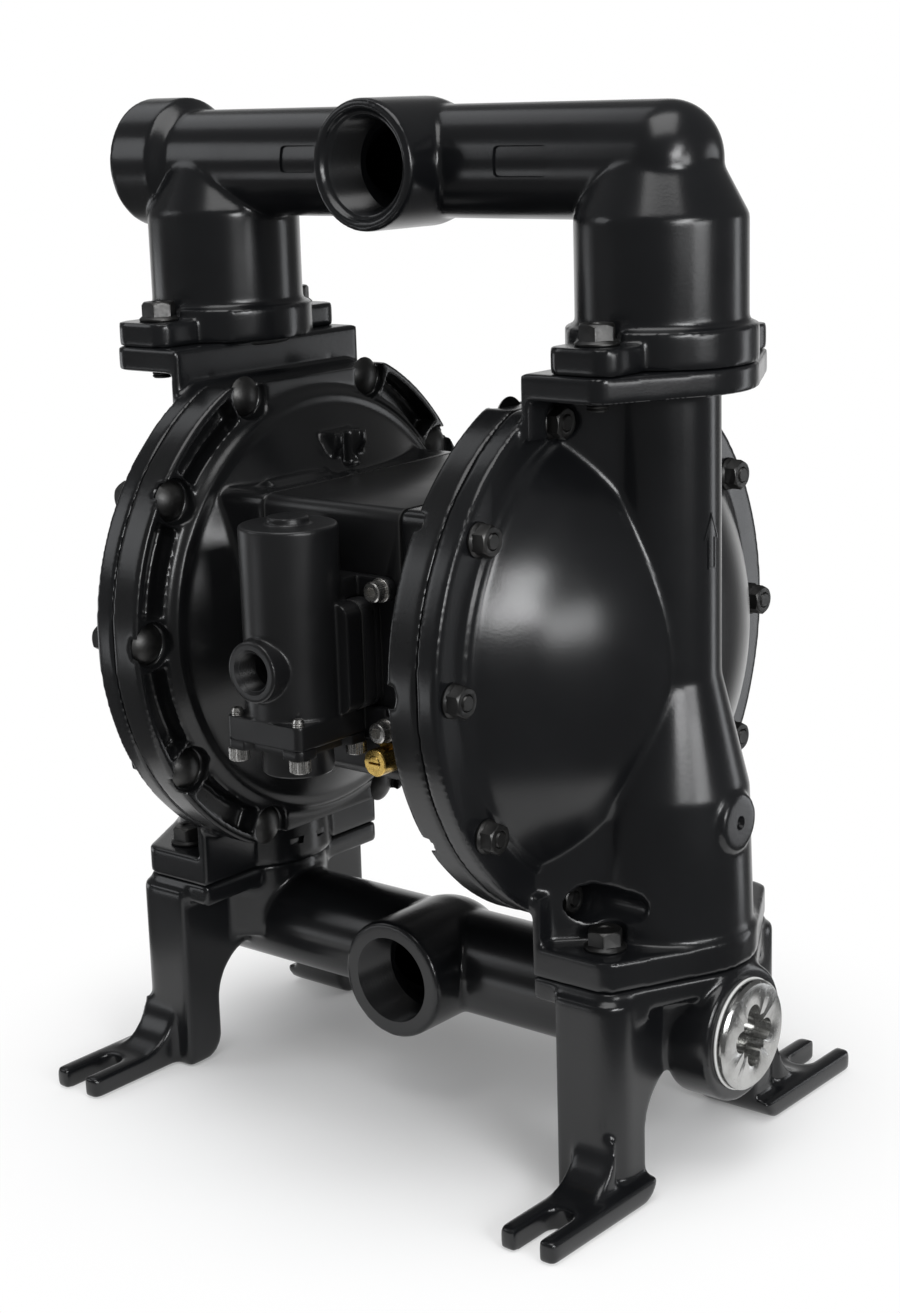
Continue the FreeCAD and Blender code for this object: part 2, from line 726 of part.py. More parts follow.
def air_cap(side):
    """An air cap: dished plate with a thick rim, bolt bosses, pockets, a square hub and a lifting lug."""
    name = "air_cap_" + side
    hand = "" if side == "right" else "-1 * "
    centre = ("0", "0", "chamber_z")
    dish = turned(
        name + "_dish",
        [
            ("hub_x", "0"), ("hub_x", "hub_r"), ("dish_x", "dish_r"), ("dish_x", "shoulder_r"),
            ("rim_back_x", "face_in_r"), ("rim_back_x", "rim_r"), ("split_x", "rim_r"), ("split_x", "0"),
        ],
        centre,
    )
    flat = box(
        name + "_flat",
        ("hub_x - 1", "-rim_r - 1", "chamber_z - rim_flat"), ("split_x + 1", "rim_r + 1", "chamber_z + rim_flat"),
    )
    dish = common(name + "_trimmed", dish, flat)
    hub = box(
        name + "_hub", ("hub_x", "-body_half_y", "body_low_z"), ("dish_x", "body_half_y", "body_top_z"),
    )
    doc.recompute()
    hub = rounded(name + "_hub_soft", hub, "body_corner_r", along_x)
    lug = box(
        name + "_lug",
        ("dish_x - lug_depth", "-lug_half_y", "chamber_z + lug_low"),
        ("dish_x + 2", "lug_half_y", "chamber_z + lug_low + lug_tall"),
    )
    lug_eye = cylinder(
        name + "_lug_eye", "lug_eye_r", "lug_tall + 2", ("dish_x - lug_depth", "0", "chamber_z + lug_low - 1"),
    )
    lug = cut(name + "_lug_open", lug, [lug_eye])
    duct = cylinder(
        name + "_duct", "duct_r", "duct_len", ("duct_x", "duct_start_y", "chamber_z + duct_dz"), "Y",
    )
    outside = fuse(name + "_outside", [dish, hub, lug, duct])
    hollow = turned(
        name + "_hollow",
        [
            ("hub_x + dish_wall", "0"), ("hub_x + dish_wall", "hub_r - 2"), ("dish_x + dish_wall", "dish_r"),
            ("split_x - bead_depth - 2", "bead_in_r - 3"), ("split_x + 1", "bead_in_r - 3"), ("split_x + 1", "0"),
        ],
        centre,
    )
    groove = cylinder(name + "_groove", "bead_out_r", "bead_depth + 1", ("split_x - bead_depth", "0", "chamber_z"), "X")
    rod_way = cylinder(name + "_rod_way", "rod_r + 1", "dish_wall + 2", ("hub_x - 1", "0", "chamber_z"), "X")
    seal_seat = cylinder(name + "_seal_seat", "rod_seal_r + 0.1", "rod_seal_t + 1.1", ("hub_x - 1", "0", "chamber_z"), "X")
    pilot_way = cylinder(
        name + "_pilot_way", "pilot_r + 1", "dish_wall + 2",
        ("hub_x - 1", f"{hand}pilot_y", "chamber_z + pilot_dz"), "X",
    )
    holes = ring_of_holes(name + "_hole", "clamp_r + hole_play", "rim_back_x - 1", "split_x + 1")
    seats = ring_of_holes(name + "_spot", "clamp_spot_r", "rim_back_x - 1", "clamp_seat_x")
    posts = ring_of_holes(name + "_post", "clamp_spot_r + 1.2", "rim_back_x - 2", "split_x")
    pocket_wide = cylinder(
        name + "_pocket_wide", "pocket_out_r", "pocket_floor_x - rim_back_x + 1", ("rim_back_x - 1", "0", "chamber_z"), "X",
    )
    pocket_core = cylinder(
        name + "_pocket_core", "pocket_in_r", "pocket_floor_x - rim_back_x + 3", ("rim_back_x - 2", "0", "chamber_z"), "X",
    )
    pocket_flat = box(
        name + "_pocket_flat",
        ("rim_back_x - 2", "-rim_r", "chamber_z - rim_flat + 4"), ("split_x", "rim_r", "chamber_z + rim_flat - 4"),
    )
    pockets = common(name + "_pockets", cut(name + "_pocket_ring", pocket_wide, [pocket_core] + posts), pocket_flat)
    screws = [
        cylinder(f"{name}_screw_{i}", "hub_screw_r + hole_play", "dish_wall + 2", ("hub_x - 1", y, z), "X")
        for i, (y, z) in enumerate(hub_screw_spots())
    ]
    done = cut(
        name, outside, [hollow, groove, rod_way, seal_seat, pilot_way, pockets] + holes + seats + screws,
    )
    done.Placement = side_placement(side)
    return node(done, name)


def along_x(edge):
    """Whether an edge is a straight one along X."""
    if edge.Curve.TypeId != "Part::GeomLine":
        return False
    return abs(abs(edge.Curve.Direction.x) - 1) < 1e-6


def hub_screw_spots():
    """Places of the six screws that hold an air cap to the centre body."""
    for i in range(6):
        angle = 30 + 60 * i
        yield f"hub_screw_circle_r * cos({angle} deg)", f"chamber_z + hub_screw_circle_r * sin({angle} deg)"


def hub_gasket(side):
    """Gasket between the centre body and an air cap."""
    name = "hub_gasket_" + side
    plate = box(
        name + "_plate",
        ("hub_x - hub_gasket_t", "-body_half_y", "body_low_z"), ("hub_x", "body_half_y", "body_top_z"),
    )
    soft = rounded(name + "_soft", plate, "body_corner_r", along_x)
    hand = "" if side == "right" else "-1 * "
    low = "hub_x - hub_gasket_t - 1"
    long = "hub_gasket_t + 2"
    holes = [
        cylinder(name + "_rod", "rod_seal_r + 1", long, (low, "0", "chamber_z"), "X"),
        cylinder(name + "_pilot", "pilot_sleeve_r + 1", long, (low, f"{hand}pilot_y", "chamber_z + pilot_dz"), "X"),
    ]
    holes += [
        cylinder(f"{name}_screw_{i}", "hub_screw_r + hole_play", long, (low, y, z), "X")
        for i, (y, z) in enumerate(hub_screw_spots())
    ]
    done = cut(name, soft, holes)
    done.Placement = side_placement(side)
    return node(done, name)


def centre_body():
    """The block between the air caps, with bores for both rods, air ports and the exhaust."""
    half = "(hub_x - hub_gasket_t)"
    block = box("centre_block", (f"-{half}", "-body_half_y", "body_low_z"), (half, "body_half_y", "body_top_z"))
    doc.recompute()
    block = rounded("centre_block_soft", block, "body_corner_r", along_x)
    rod_way = cylinder("centre_rod_way", "rod_r + 1", f"2 * {half} + 2", (f"-{half} - 1", "0", "chamber_z"), "X")
    bush_seats = [
        cylinder("centre_bush_seat_right", "bush_r + 0.02", "bush_len + 1", (f"{half} - bush_len", "0", "chamber_z"), "X"),
        cylinder("centre_bush_seat_left", "bush_r + 0.02", "bush_len + 1", (f"-{half} - 1", "0", "chamber_z"), "X"),
    ]
    sleeve = cylinder(
        "centre_pilot_way", "pilot_sleeve_r + 0.02", f"2 * {half} + 2",
        (f"-{half} - 1", "pilot_y", "chamber_z + pilot_dz"), "X",
    )
    screws = [
        cylinder(f"centre_hub_screw_{sign_name}_{i}", "hub_screw_r + 0.1", "hub_screw_len", at, axis)
        for sign_name, axis in (("right", "-X"), ("left", "X"))
        for i, (y, z) in enumerate(hub_screw_spots())
        for at in [((half if axis == "-X" else f"-{half}"), y, z)]
    ]
    mounts = [
        cylinder(f"centre_mount_{i}", "screw_r + 0.1", "mount_screw_len", (x, "-body_half_y", z), "Y")
        for i, (x, z) in enumerate(mount_screw_spots())
    ]
    ports = [
        box(
            f"centre_port_{i}",
            ("-port_slot_half", "-body_half_y - 1", f"(layer_low_z + layer_top_z) / 2 + {i} * 15 - 4"),
            ("port_slot_half", "-body_half_y + 20", f"(layer_low_z + layer_top_z) / 2 + {i} * 15 + 4"),
        )
        for i in (-1, 0, 1)
    ]
    exhaust = cylinder("centre_exhaust", "muffler_neck_r + 0.1", "exhaust_depth", ("0", "body_half_y", "muffler_z"), "-Y")
    hollows = [rod_way, sleeve, exhaust] + bush_seats + screws + mounts + ports
    return node(cut("centre_body", block, hollows), "centre_body")


def mount_screw_spots():
    """Places of the four screws that hold the air valve."""
    for x in ("-mount_screw_x", "mount_screw_x"):
        for z in ("mount_screw_low_z", "mount_screw_top_z"):
            yield x, z


# Check valves

def valve_seat(name, side, joint):
    """A valve seat: a ring with a land and a cone that the ball rests on."""
    x = "riser_x" if side == "right" else "-riser_x"
    seat = turned(
        name,
        [("0", "seat_bore_r"), ("0", "seat_r"), ("seat_t", "seat_r"), ("seat_t", "seat_mouth_r"), ("seat_land", "seat_bore_r")],
        (x, "0", joint),
        "Z",
    )
    return node(seat, name)


def check_ball(name, side, joint):
    """A check ball on its seat."""
    x = "riser_x" if side == "right" else "-riser_x"
    return node(sphere(name, "ball_r", (x, "0", f"{joint} + {BALL_HEIGHT}")), name)


def seat_seals(level, joint):
    """The seal rings under the two seats of one joint plane."""
    one = torus(level + "_seal_ring", "seal_line_r", "seal_ring_r", ("0", "0", "0"))
    drop = value(joint) - value("seal_ring_r") - 0.1
    spots = [at_point(x, 0, drop) for x in (value("riser_x"), -value("riser_x"))]
    return node(group(level + "_seat_seals", one, spots), level + "_seat_seals")


# Manifolds

def tube_with_elbow(name, level, sign, boss_x, axis):
    """The cross tube: it runs from the round end over one riser to the boss beyond the other."""
    start = "(riser_x + tube_r)"
    tube = cylinder(name + "_tube", "tube_r", f"{start} + {boss_x} - 1", (f"{sign}(-{start})", "0", level), axis)
    doc.recompute()
    end_x = value("riser_x") + value("tube_r")
    return rounded(
        name + "_tube_round", tube, "elbow_round_r",
        lambda e: e.Curve.TypeId == "Part::GeomCircle" and abs(abs(e.CenterOfMass.x) - end_x) < 0.1,
    )


def manifold_tube(name, level, end, boss_x, face):
    """The cross tube of a manifold with its middle port and one end boss, as solids and as hollows."""
    sign = "" if end == "right" else "-1 * "
    far = f"({sign}{boss_x})"
    near = f"({sign}end_boss_in_x)"
    axis = "X" if end == "right" else "-X"
    back = "-X" if end == "right" else "X"
    solids = [
        tube_with_elbow(name, level, sign, boss_x, axis),
        cylinder(name + "_end_boss", "end_boss_r", f"{boss_x} - end_boss_in_x", (near, "0", level), axis),
        cone(
            name + "_end_flare", "tube_r - 1", "end_boss_r", "boss_flare",
            (f"{sign}(end_boss_in_x - boss_flare)", "0", level), axis,
        ),
        cylinder(name + "_port", "port_r", "port_face_y + port_back_y", ("0", "port_back_y", level), "-Y"),
        sphere(name + "_port_heel", "port_r", ("0", "0", level)),
    ]
    hollows = [
        cylinder(name + "_bore", "tube_bore_r", f"riser_x + {boss_x} + 1", (f"{sign}(-riser_x)", "0", level), axis),
        cylinder(name + "_port_bore", "thread_bore_r", "thread_depth", ("0", "-port_face_y", level), "Y"),
        cylinder(name + "_port_way", "port_way_r", "port_face_y", ("0", "-port_face_y", level), "Y"),
        cylinder(name + "_end_bore", "thread_bore_r", "thread_depth", (far, "0", level), back),
    ]
    if face:
        hollows.append(
            cylinder(name + "_port_mouth", "port_mouth_r", "port_mouth_depth", ("0", "-port_face_y", level), "Y"),
        )
    return solids, hollows


def outlet_manifold():
    """The top casting: cross tube, two risers with ball guides and eared flanges."""
    name = "outlet_manifold"
    solids, hollows = manifold_tube(name, "outlet_z", "left", "outlet_boss_x", True)
    for side, x in (("right", "riser_x"), ("left", "-riser_x")):
        part = f"{name}_{side}"
        solids += [
            cylinder(part + "_ring", "ring_r", "flange_top_z - joint_high_z", (x, "0", "joint_high_z")),
            cylinder(part + "_riser", "riser_r", "riser_top_z - joint_high_z", (x, "0", "joint_high_z")),
            cone(part + "_shoulder", "riser_r", "shoulder_top_r", "outlet_z + 3 - riser_top_z", (x, "0", "riser_top_z")),
        ]
        ears = box(
            part + "_ears", (f"{x} - ear_half", "-ear_end", "joint_high_z"), (f"{x} + ear_half", "ear_end", "ear_top_z"),
        )
        solids.append(rounded(part + "_ears_soft", ears, "ear_corner_r", upright))
        bore = "(riser_r - riser_wall)"
        hollows += [
            cylinder(part + "_cage", bore, "riser_top_z - joint_high_z", (x, "0", "joint_high_z - 1")),
            cone(part + "_cage_top", bore, "cage_top_bore_r", "outlet_z - riser_top_z", (x, "0", "riser_top_z - 2")),
            cylinder(part + "_seat", "seat_r + seat_fit", "seat_t + 1", (x, "0", "joint_high_z - 1")),
        ]
        for hand, sign in (("front", "-"), ("back", "1 * ")):
            at = f"{sign}ear_bolt_y"
            hollows += [
                cylinder(
                    f"{part}_bolt_{hand}", "ear_bolt_r + hole_play", "ear_top_z - joint_high_z + 2",
                    (x, at, "joint_high_z - 1"),
                ),
                cylinder(
                    f"{part}_spot_{hand}", "ear_bolt_flange_r + spot_play", "flange_top_z - ear_top_z + 1",
                    (x, at, "ear_top_z"),
                ),
            ]
    carved = cut(name + "_carved", fuse(name + "_outside", solids), hollows)
    guides = [
        turned_copy(ball_guides(f"{name}_guides_{side}", "joint_high_z", "(riser_r - riser_wall)"), side)
        for side in SIDES
    ]
    return node(fuse(name, [carved] + guides), name)


SIDES = ("right", "left")


def turned_copy(item, side):
    """Turn a piece drawn on the right to its own side."""
    item.Placement = side_placement(side)
    return item


def leg_outline():
    """Front and back leg with the arch between them, seen along X."""
    return [
        ("-leg_y", "0"), ("-leg_y", "joint_low_z"), ("leg_y", "joint_low_z"), ("leg_y", "0"),
        ("leg_back_y", "0"), ("leg_back_y", "arch_z"), ("-leg_back_y", "arch_z"), ("-leg_back_y", "0"),
    ]


def leg_frame(name):
    """Both legs of one side with the round arch between them, the outer corners rounded."""
    frame = padded(name, "YZ_Plane", leg_outline(), "leg_out_x - leg_in_x", ("leg_in_x", "0", "0"))
    doc.recompute()
    outer, front = value("leg_out_x"), value("leg_y")
    arch_top, back = value("arch_z"), value("leg_back_y")

    def at_arch(edge):
        return along_x(edge) and abs(edge.Vertexes[0].Z - arch_top) < 0.1

    def at_heel(edge):
        return along_x(edge) and abs(edge.Vertexes[0].Z) < 0.1 and abs(abs(edge.Vertexes[0].Y) - back) < 0.1

    def at_corner(edge):
        start = edge.Vertexes[0]
        return upright(edge) and abs(start.X - outer) < 0.1 and abs(start.Y) > front - 0.1

    arched = rounded(name + "_arched", frame, "arch_r", at_arch)
    heeled = rounded(name + "_heeled", arched, "heel_r", at_heel)
    return rounded(name + "_soft", heeled, "leg_corner_r", at_corner)


def leg_coves(name, sign):
    """Hollow curves that carry a leg into its foot and out to the flange above."""
    front = sign == "-"
    cove_y = ("-leg_y - cove_r", "-leg_y + 1") if front else ("leg_y - 1", "leg_y + cove_r")
    block = box(name + "_block", ("foot_in_x", cove_y[0], "foot_t - 1"), ("leg_out_x", cove_y[1], "foot_t + cove_r"))
    scoop = cylinder(
        name + "_scoop", "cove_r", "leg_out_x - foot_in_x + 2",
        ("foot_in_x - 1", f"{sign}(leg_y + cove_r)", "foot_t + cove_r"), "X",
    )
    low = cut(name, block, [scoop])
    top = "(joint_low_z - rim_low_t)"
    side_y = ("-leg_y + leg_corner_r", "-leg_back_y") if front else ("leg_back_y", "leg_y - leg_corner_r")
    slab = box(
        name + "_side_block",
        ("leg_out_x - 1", side_y[0], f"{top} - side_cove_r"), ("leg_out_x + side_cove_r", side_y[1], f"{top} + 1"),
    )
    hollow = cylinder(
        name + "_side_scoop", "side_cove_r", f"({side_y[1]}) - ({side_y[0]}) + 2",
        ("leg_out_x + side_cove_r", f"{side_y[0]} - 1", f"{top} - side_cove_r"), "Y",
    )
    side = cut(name + "_side_solid", slab, [hollow])
    under = padded(name + "_under", "XY_Plane", ear_outline(), "side_cove_r + 0.5", ("0", "0", f"{top} - side_cove_r"))
    return [low, common(name + "_side", side, under)]


def foot(name, sign):
    """A foot that points to the front or the back, with an open slot for the holding-down bolt."""
    low_y, high_y = ("-foot_tip_y", "-leg_back_y") if sign == "-" else ("leg_back_y", "foot_tip_y")
    plate = box(name + "_plate", ("foot_in_x", low_y, "0"), ("foot_out_x", high_y, "foot_t"))
    doc.recompute()
    tip, back = value("foot_tip_y"), value("leg_back_y")
    soft = rounded(
        name + "_soft", plate, "foot_corner_r", lambda e: upright(e) and abs(abs(e.Vertexes[0].Y) - tip) < 0.1,
    )
    soft = rounded(
        name + "_heel", soft, "foot_heel_r",
        lambda e: along_x(e) and abs(abs(e.Vertexes[0].Y) - back) < 0.1 and e.Vertexes[0].Z < 0.1,
    )
    middle = "(foot_in_x + foot_out_x) / 2"
    slot_from = "-foot_tip_y - 1" if sign == "-" else "slot_end_y"
    slot_to = "-slot_end_y" if sign == "-" else "foot_tip_y + 1"
    slot = box(name + "_slot", (f"{middle} - slot_r", slot_from, "-1"), (f"{middle} + slot_r", slot_to, "foot_t + 1"))
    end = cylinder(name + "_slot_end", "slot_r", "foot_t + 2", (middle, f"{sign}slot_end_y", "-1"))
    return cut(name, soft, [slot, end])


def inlet_manifold():
    """The bottom casting: cross tube, two risers, four legs with slotted feet."""
    name = "inlet_manifold"
    solids, hollows = manifold_tube(name, "inlet_z", "right", "end_boss_x", False)
    outside = fuse(name + "_pipes", solids)
    for side in SIDES:
        part = f"{name}_{side}"
        x = "riser_x" if side == "right" else "-riser_x"
        rim = ear_plate(part + "_rim", "joint_low_z - rim_low_t", "rim_low_t")
        body = cylinder(
            part + "_riser", "riser_r", "joint_low_z - inlet_z + riser_drop", ("riser_x", "0", "inlet_z - riser_drop"),
        )
        feet = [foot(f"{part}_foot_{i}", sign) for i, sign in enumerate(("-", "1 * "))]
        coves = [piece for i, sign in enumerate(("-", "1 * ")) for piece in leg_coves(f"{part}_cove_{i}", sign)]
        casting = fuse(part + "_casting", [rim, body, leg_frame(part + "_frame")] + feet + coves)
        outside = fuse(part + "_joined", [outside, turned_copy(casting, side)])
        bore = cylinder(part + "_bore", "under_seat_r", "joint_low_z - inlet_z + 1", (x, "0", "inlet_z"))
        hollows.append(bore)
        groove = seal_groove(part + "_groove", "joint_low_z")
        hollows.append(turned_copy(groove, side))
        hollows += [
            cylinder(
                f"{part}_bolt_{hand}", "ear_bolt_r + 0.1", "low_thread_depth", (x, f"{sign}ear_bolt_y", "joint_low_z"), "-Z",
            )
            for hand, sign in (("front", "-"), ("back", "1 * "))
        ]
    return node(cut(name, outside, hollows), name)


def plug_key(name, face, level):
    """The square hollow in the face of a plug."""
    return box(
        name + "_key",
        (f"{face} - plug_square_depth", "-plug_square / 2", f"{level} - plug_square / 2"),
        (f"{face} + 1", "plug_square / 2", f"{level} + plug_square / 2"),
    )


def headed_plug():
    """The plug of the lower tube: its head stands on a seal washer in front of the boss."""
    head_x = "(end_boss_x + plug_seal_t)"
    face = f"({head_x} + plug_head_t)"
    at = ("0", "0", "inlet_z")
    body = turned(
        "inlet_plug_body",
        [
            (f"{head_x} - plug_depth", "0"), (f"{head_x} - plug_depth", "thread_bore_r - thread_play"),
            (head_x, "thread_bore_r - thread_play"), (head_x, "plug_head_r"), (face, "plug_head_r"), (face, "0"),
        ],
        at,
    )
    node(cut("inlet_end_plug", body, [plug_key("inlet_plug", face, "inlet_z")]), "inlet_end_plug")
    seal = turned(
        "inlet_plug_seal",
        [
            ("end_boss_x", "thread_bore_r + 0.4"), ("end_boss_x", "plug_head_r + 0.6"),
            (head_x, "plug_head_r + 0.6"), (head_x, "thread_bore_r + 0.4"),
        ],
        at,
    )
    node(seal, "inlet_plug_seal")


def flush_plug():
    """The plug of the upper tube: it stands level with the boss on the left."""
    face = "(outlet_boss_x - 0.5)"
    bar = cylinder(
        "outlet_plug_bar", "thread_bore_r - thread_play", "plug_depth", (f"{face} - plug_depth", "0", "outlet_z"), "X",
    )
    plug = cut("outlet_end_plug", bar, [plug_key("outlet_plug", face, "outlet_z")])
    plug.Placement = side_placement("left")
    node(plug, "outlet_end_plug")


# Diaphragm rod

def rod_set():
    """The rod with its clamp plates, diaphragms and end screws."""
    length = "(split_x - membrane_t / 2 - plate_t)"
    rod = cylinder("rod_bar", "rod_r", f"2 * {length}", (f"-{length}", "0", "chamber_z"), "X")
    taps = [
        cylinder("rod_tap_" + side, "end_screw_r + 0.1", "end_thread_len + 1", (x, "0", "chamber_z"), axis)
        for side, x, axis in (("right", f"{length} + 1", "-X"), ("left", f"-{length} - 1", "X"))
    ]
    node(cut("diaphragm_rod", rod, taps), "diaphragm_rod")
    for side in SIDES:
        inner = turned(
            "inner_plate_" + side,
            [
                (length, "end_screw_r + 0.2"), (length, "plate_r * 0.45"), (f"{length} + plate_t * 0.5", "plate_r"),
                (f"{length} + plate_t", "plate_r"), (f"{length} + plate_t", "end_screw_r + 0.2"),
            ],
        )
        out = "(split_x + membrane_t / 2)"
        outer = turned(
            "outer_plate_" + side,
            [
                (out, "end_screw_r + 0.2"), (out, "plate_r"), (f"{out} + plate_t * 0.4", "plate_r"),
                (f"{out} + plate_t", "plate_r * 0.5"), (f"{out} + plate_t", "end_screw_r + 0.2"),
            ],
        )
        half = "membrane_t / 2"
        fold_r = "(plate_r + bead_in_r) / 2"
        bead = "(bead_depth - 0.05)"
        membrane = turned(
            "diaphragm_" + side,
            [
                (f"split_x + {half}", "end_screw_r + 0.2"), (f"split_x + {half}", "plate_r + 3"),
                (f"split_x + {half} - fold_rise * 0.8", f"{fold_r} - 10"), (f"split_x + {half} - fold_rise", fold_r),
                (f"split_x + {half} - fold_rise * 0.8", f"{fold_r} + 10"), (f"split_x + {half}", "bead_in_r - 3.5"),
                (f"split_x + {bead}", "bead_in_r"), (f"split_x + {bead}", "bead_out_r - 0.2"),
                (f"split_x - {bead}", "bead_out_r - 0.2"), (f"split_x - {bead}", "bead_in_r"),
                (f"split_x - {half}", "bead_in_r - 3.5"), (f"split_x - {half} - fold_rise * 0.8", f"{fold_r} + 10"),
                (f"split_x - {half} - fold_rise", fold_r), (f"split_x - {half} - fold_rise * 0.8", f"{fold_r} - 10"),
                (f"split_x - {half}", "plate_r + 3"), (f"split_x - {half}", "end_screw_r + 0.2"),
            ],
        )
        head = cylinder(
            f"rod_screw_head_{side}", "end_head_r", "end_head_t", (f"{out} + plate_t", "0", "chamber_z"), "X",
        )
        shank = cylinder(
            f"rod_screw_shank_{side}", "end_screw_r", f"{out} + plate_t - ({length} - end_thread_len)",
            (f"{length} - end_thread_len", "0", "chamber_z"), "X",
        )
        screw = fuse("rod_end_screw_" + side, [head, shank])
        for item in (inner, outer, membrane):
            item.Placement = side_placement(side)
            item.setExpression("Placement.Base.z", formula("chamber_z"))
        screw.Placement = side_placement(side)
        node(inner, "inner_plate_" + side)
        node(outer, "outer_plate_" + side)
        node(membrane, "diaphragm_" + side)
        node(screw, "rod_end_screw_" + side)
        bush = turned(
            "rod_bush_" + side,
            [
                ("hub_x - hub_gasket_t - bush_len", "rod_r + rod_play"), ("hub_x - hub_gasket_t - bush_len", "bush_r"),
                ("hub_x - hub_gasket_t", "bush_r"), ("hub_x - hub_gasket_t", "rod_r + rod_play"),
            ],
        )
        seal = turned(
            "rod_seal_" + side,
            [
                ("hub_x", "rod_r + rod_play"), ("hub_x", "rod_seal_r"),
                ("hub_x + rod_seal_t", "rod_seal_r"), ("hub_x + rod_seal_t", "rod_r + rod_play"),
            ],
        )
        for item, label in ((bush, "rod_bush_"), (seal, "rod_seal_")):
            item.Placement = side_placement(side)
            item.setExpression("Placement.Base.z", formula("chamber_z"))
            node(item, label + side)


def pilot_set():
    """The pilot rod that the clamp plates push at each end of the stroke, and its sleeve."""
    at = ("0", "pilot_y", "chamber_z + pilot_dz")
    half = "(hub_x - hub_gasket_t)"
    rod = turned(
        "pilot_rod",
        [
            ("-pilot_tip_x", "0"), ("-pilot_tip_x", "pilot_r - 0.8"), ("-pilot_tip_x + 0.8", "pilot_r"),
            ("-pilot_waist", "pilot_r"), ("-pilot_waist + 1.5", "pilot_r - 1.5"),
            ("pilot_waist - 1.5", "pilot_r - 1.5"), ("pilot_waist", "pilot_r"),
            ("pilot_tip_x - 0.8", "pilot_r"), ("pilot_tip_x", "pilot_r - 0.8"), ("pilot_tip_x", "0"),
        ],
        at,
    )
    node(rod, "pilot_rod")
    sleeve = turned(
        "pilot_sleeve",
        [
            (f"-{half}", "pilot_r + pilot_play"), (f"-{half}", "pilot_sleeve_r"),
            (half, "pilot_sleeve_r"), (half, "pilot_r + pilot_play"),
        ],
        at,
    )
    node(sleeve, "pilot_sleeve")


# Air valve

def layer(name, start, thick):
    """One flat layer between the air valve and the centre body."""
    plate = box(
        name + "_plate",
        ("-layer_half_x", f"-({start}) - ({thick})", "layer_low_z"), ("layer_half_x", f"-({start})", "layer_top_z"),
    )
    doc.recompute()
    soft = rounded(name + "_soft", plate, "layer_corner_r", along_y)
    slots = [
        box(
            f"{name}_slot_{i}",
            ("-port_slot_half", f"-({start}) - ({thick}) - 1", f"(layer_low_z + layer_top_z) / 2 + {i} * 15 - 4"),
            ("port_slot_half", f"-({start}) + 1", f"(layer_low_z + layer_top_z) / 2 + {i} * 15 + 4"),
        )
        for i in (-1, 0, 1)
    ]
    return node(cut(name, soft, slots), name)


def along_y(edge):
    """Whether an edge is a straight one along Y."""
    if edge.Curve.TypeId != "Part::GeomLine":
        return False
    return abs(abs(edge.Curve.Direction.y) - 1) < 1e-6


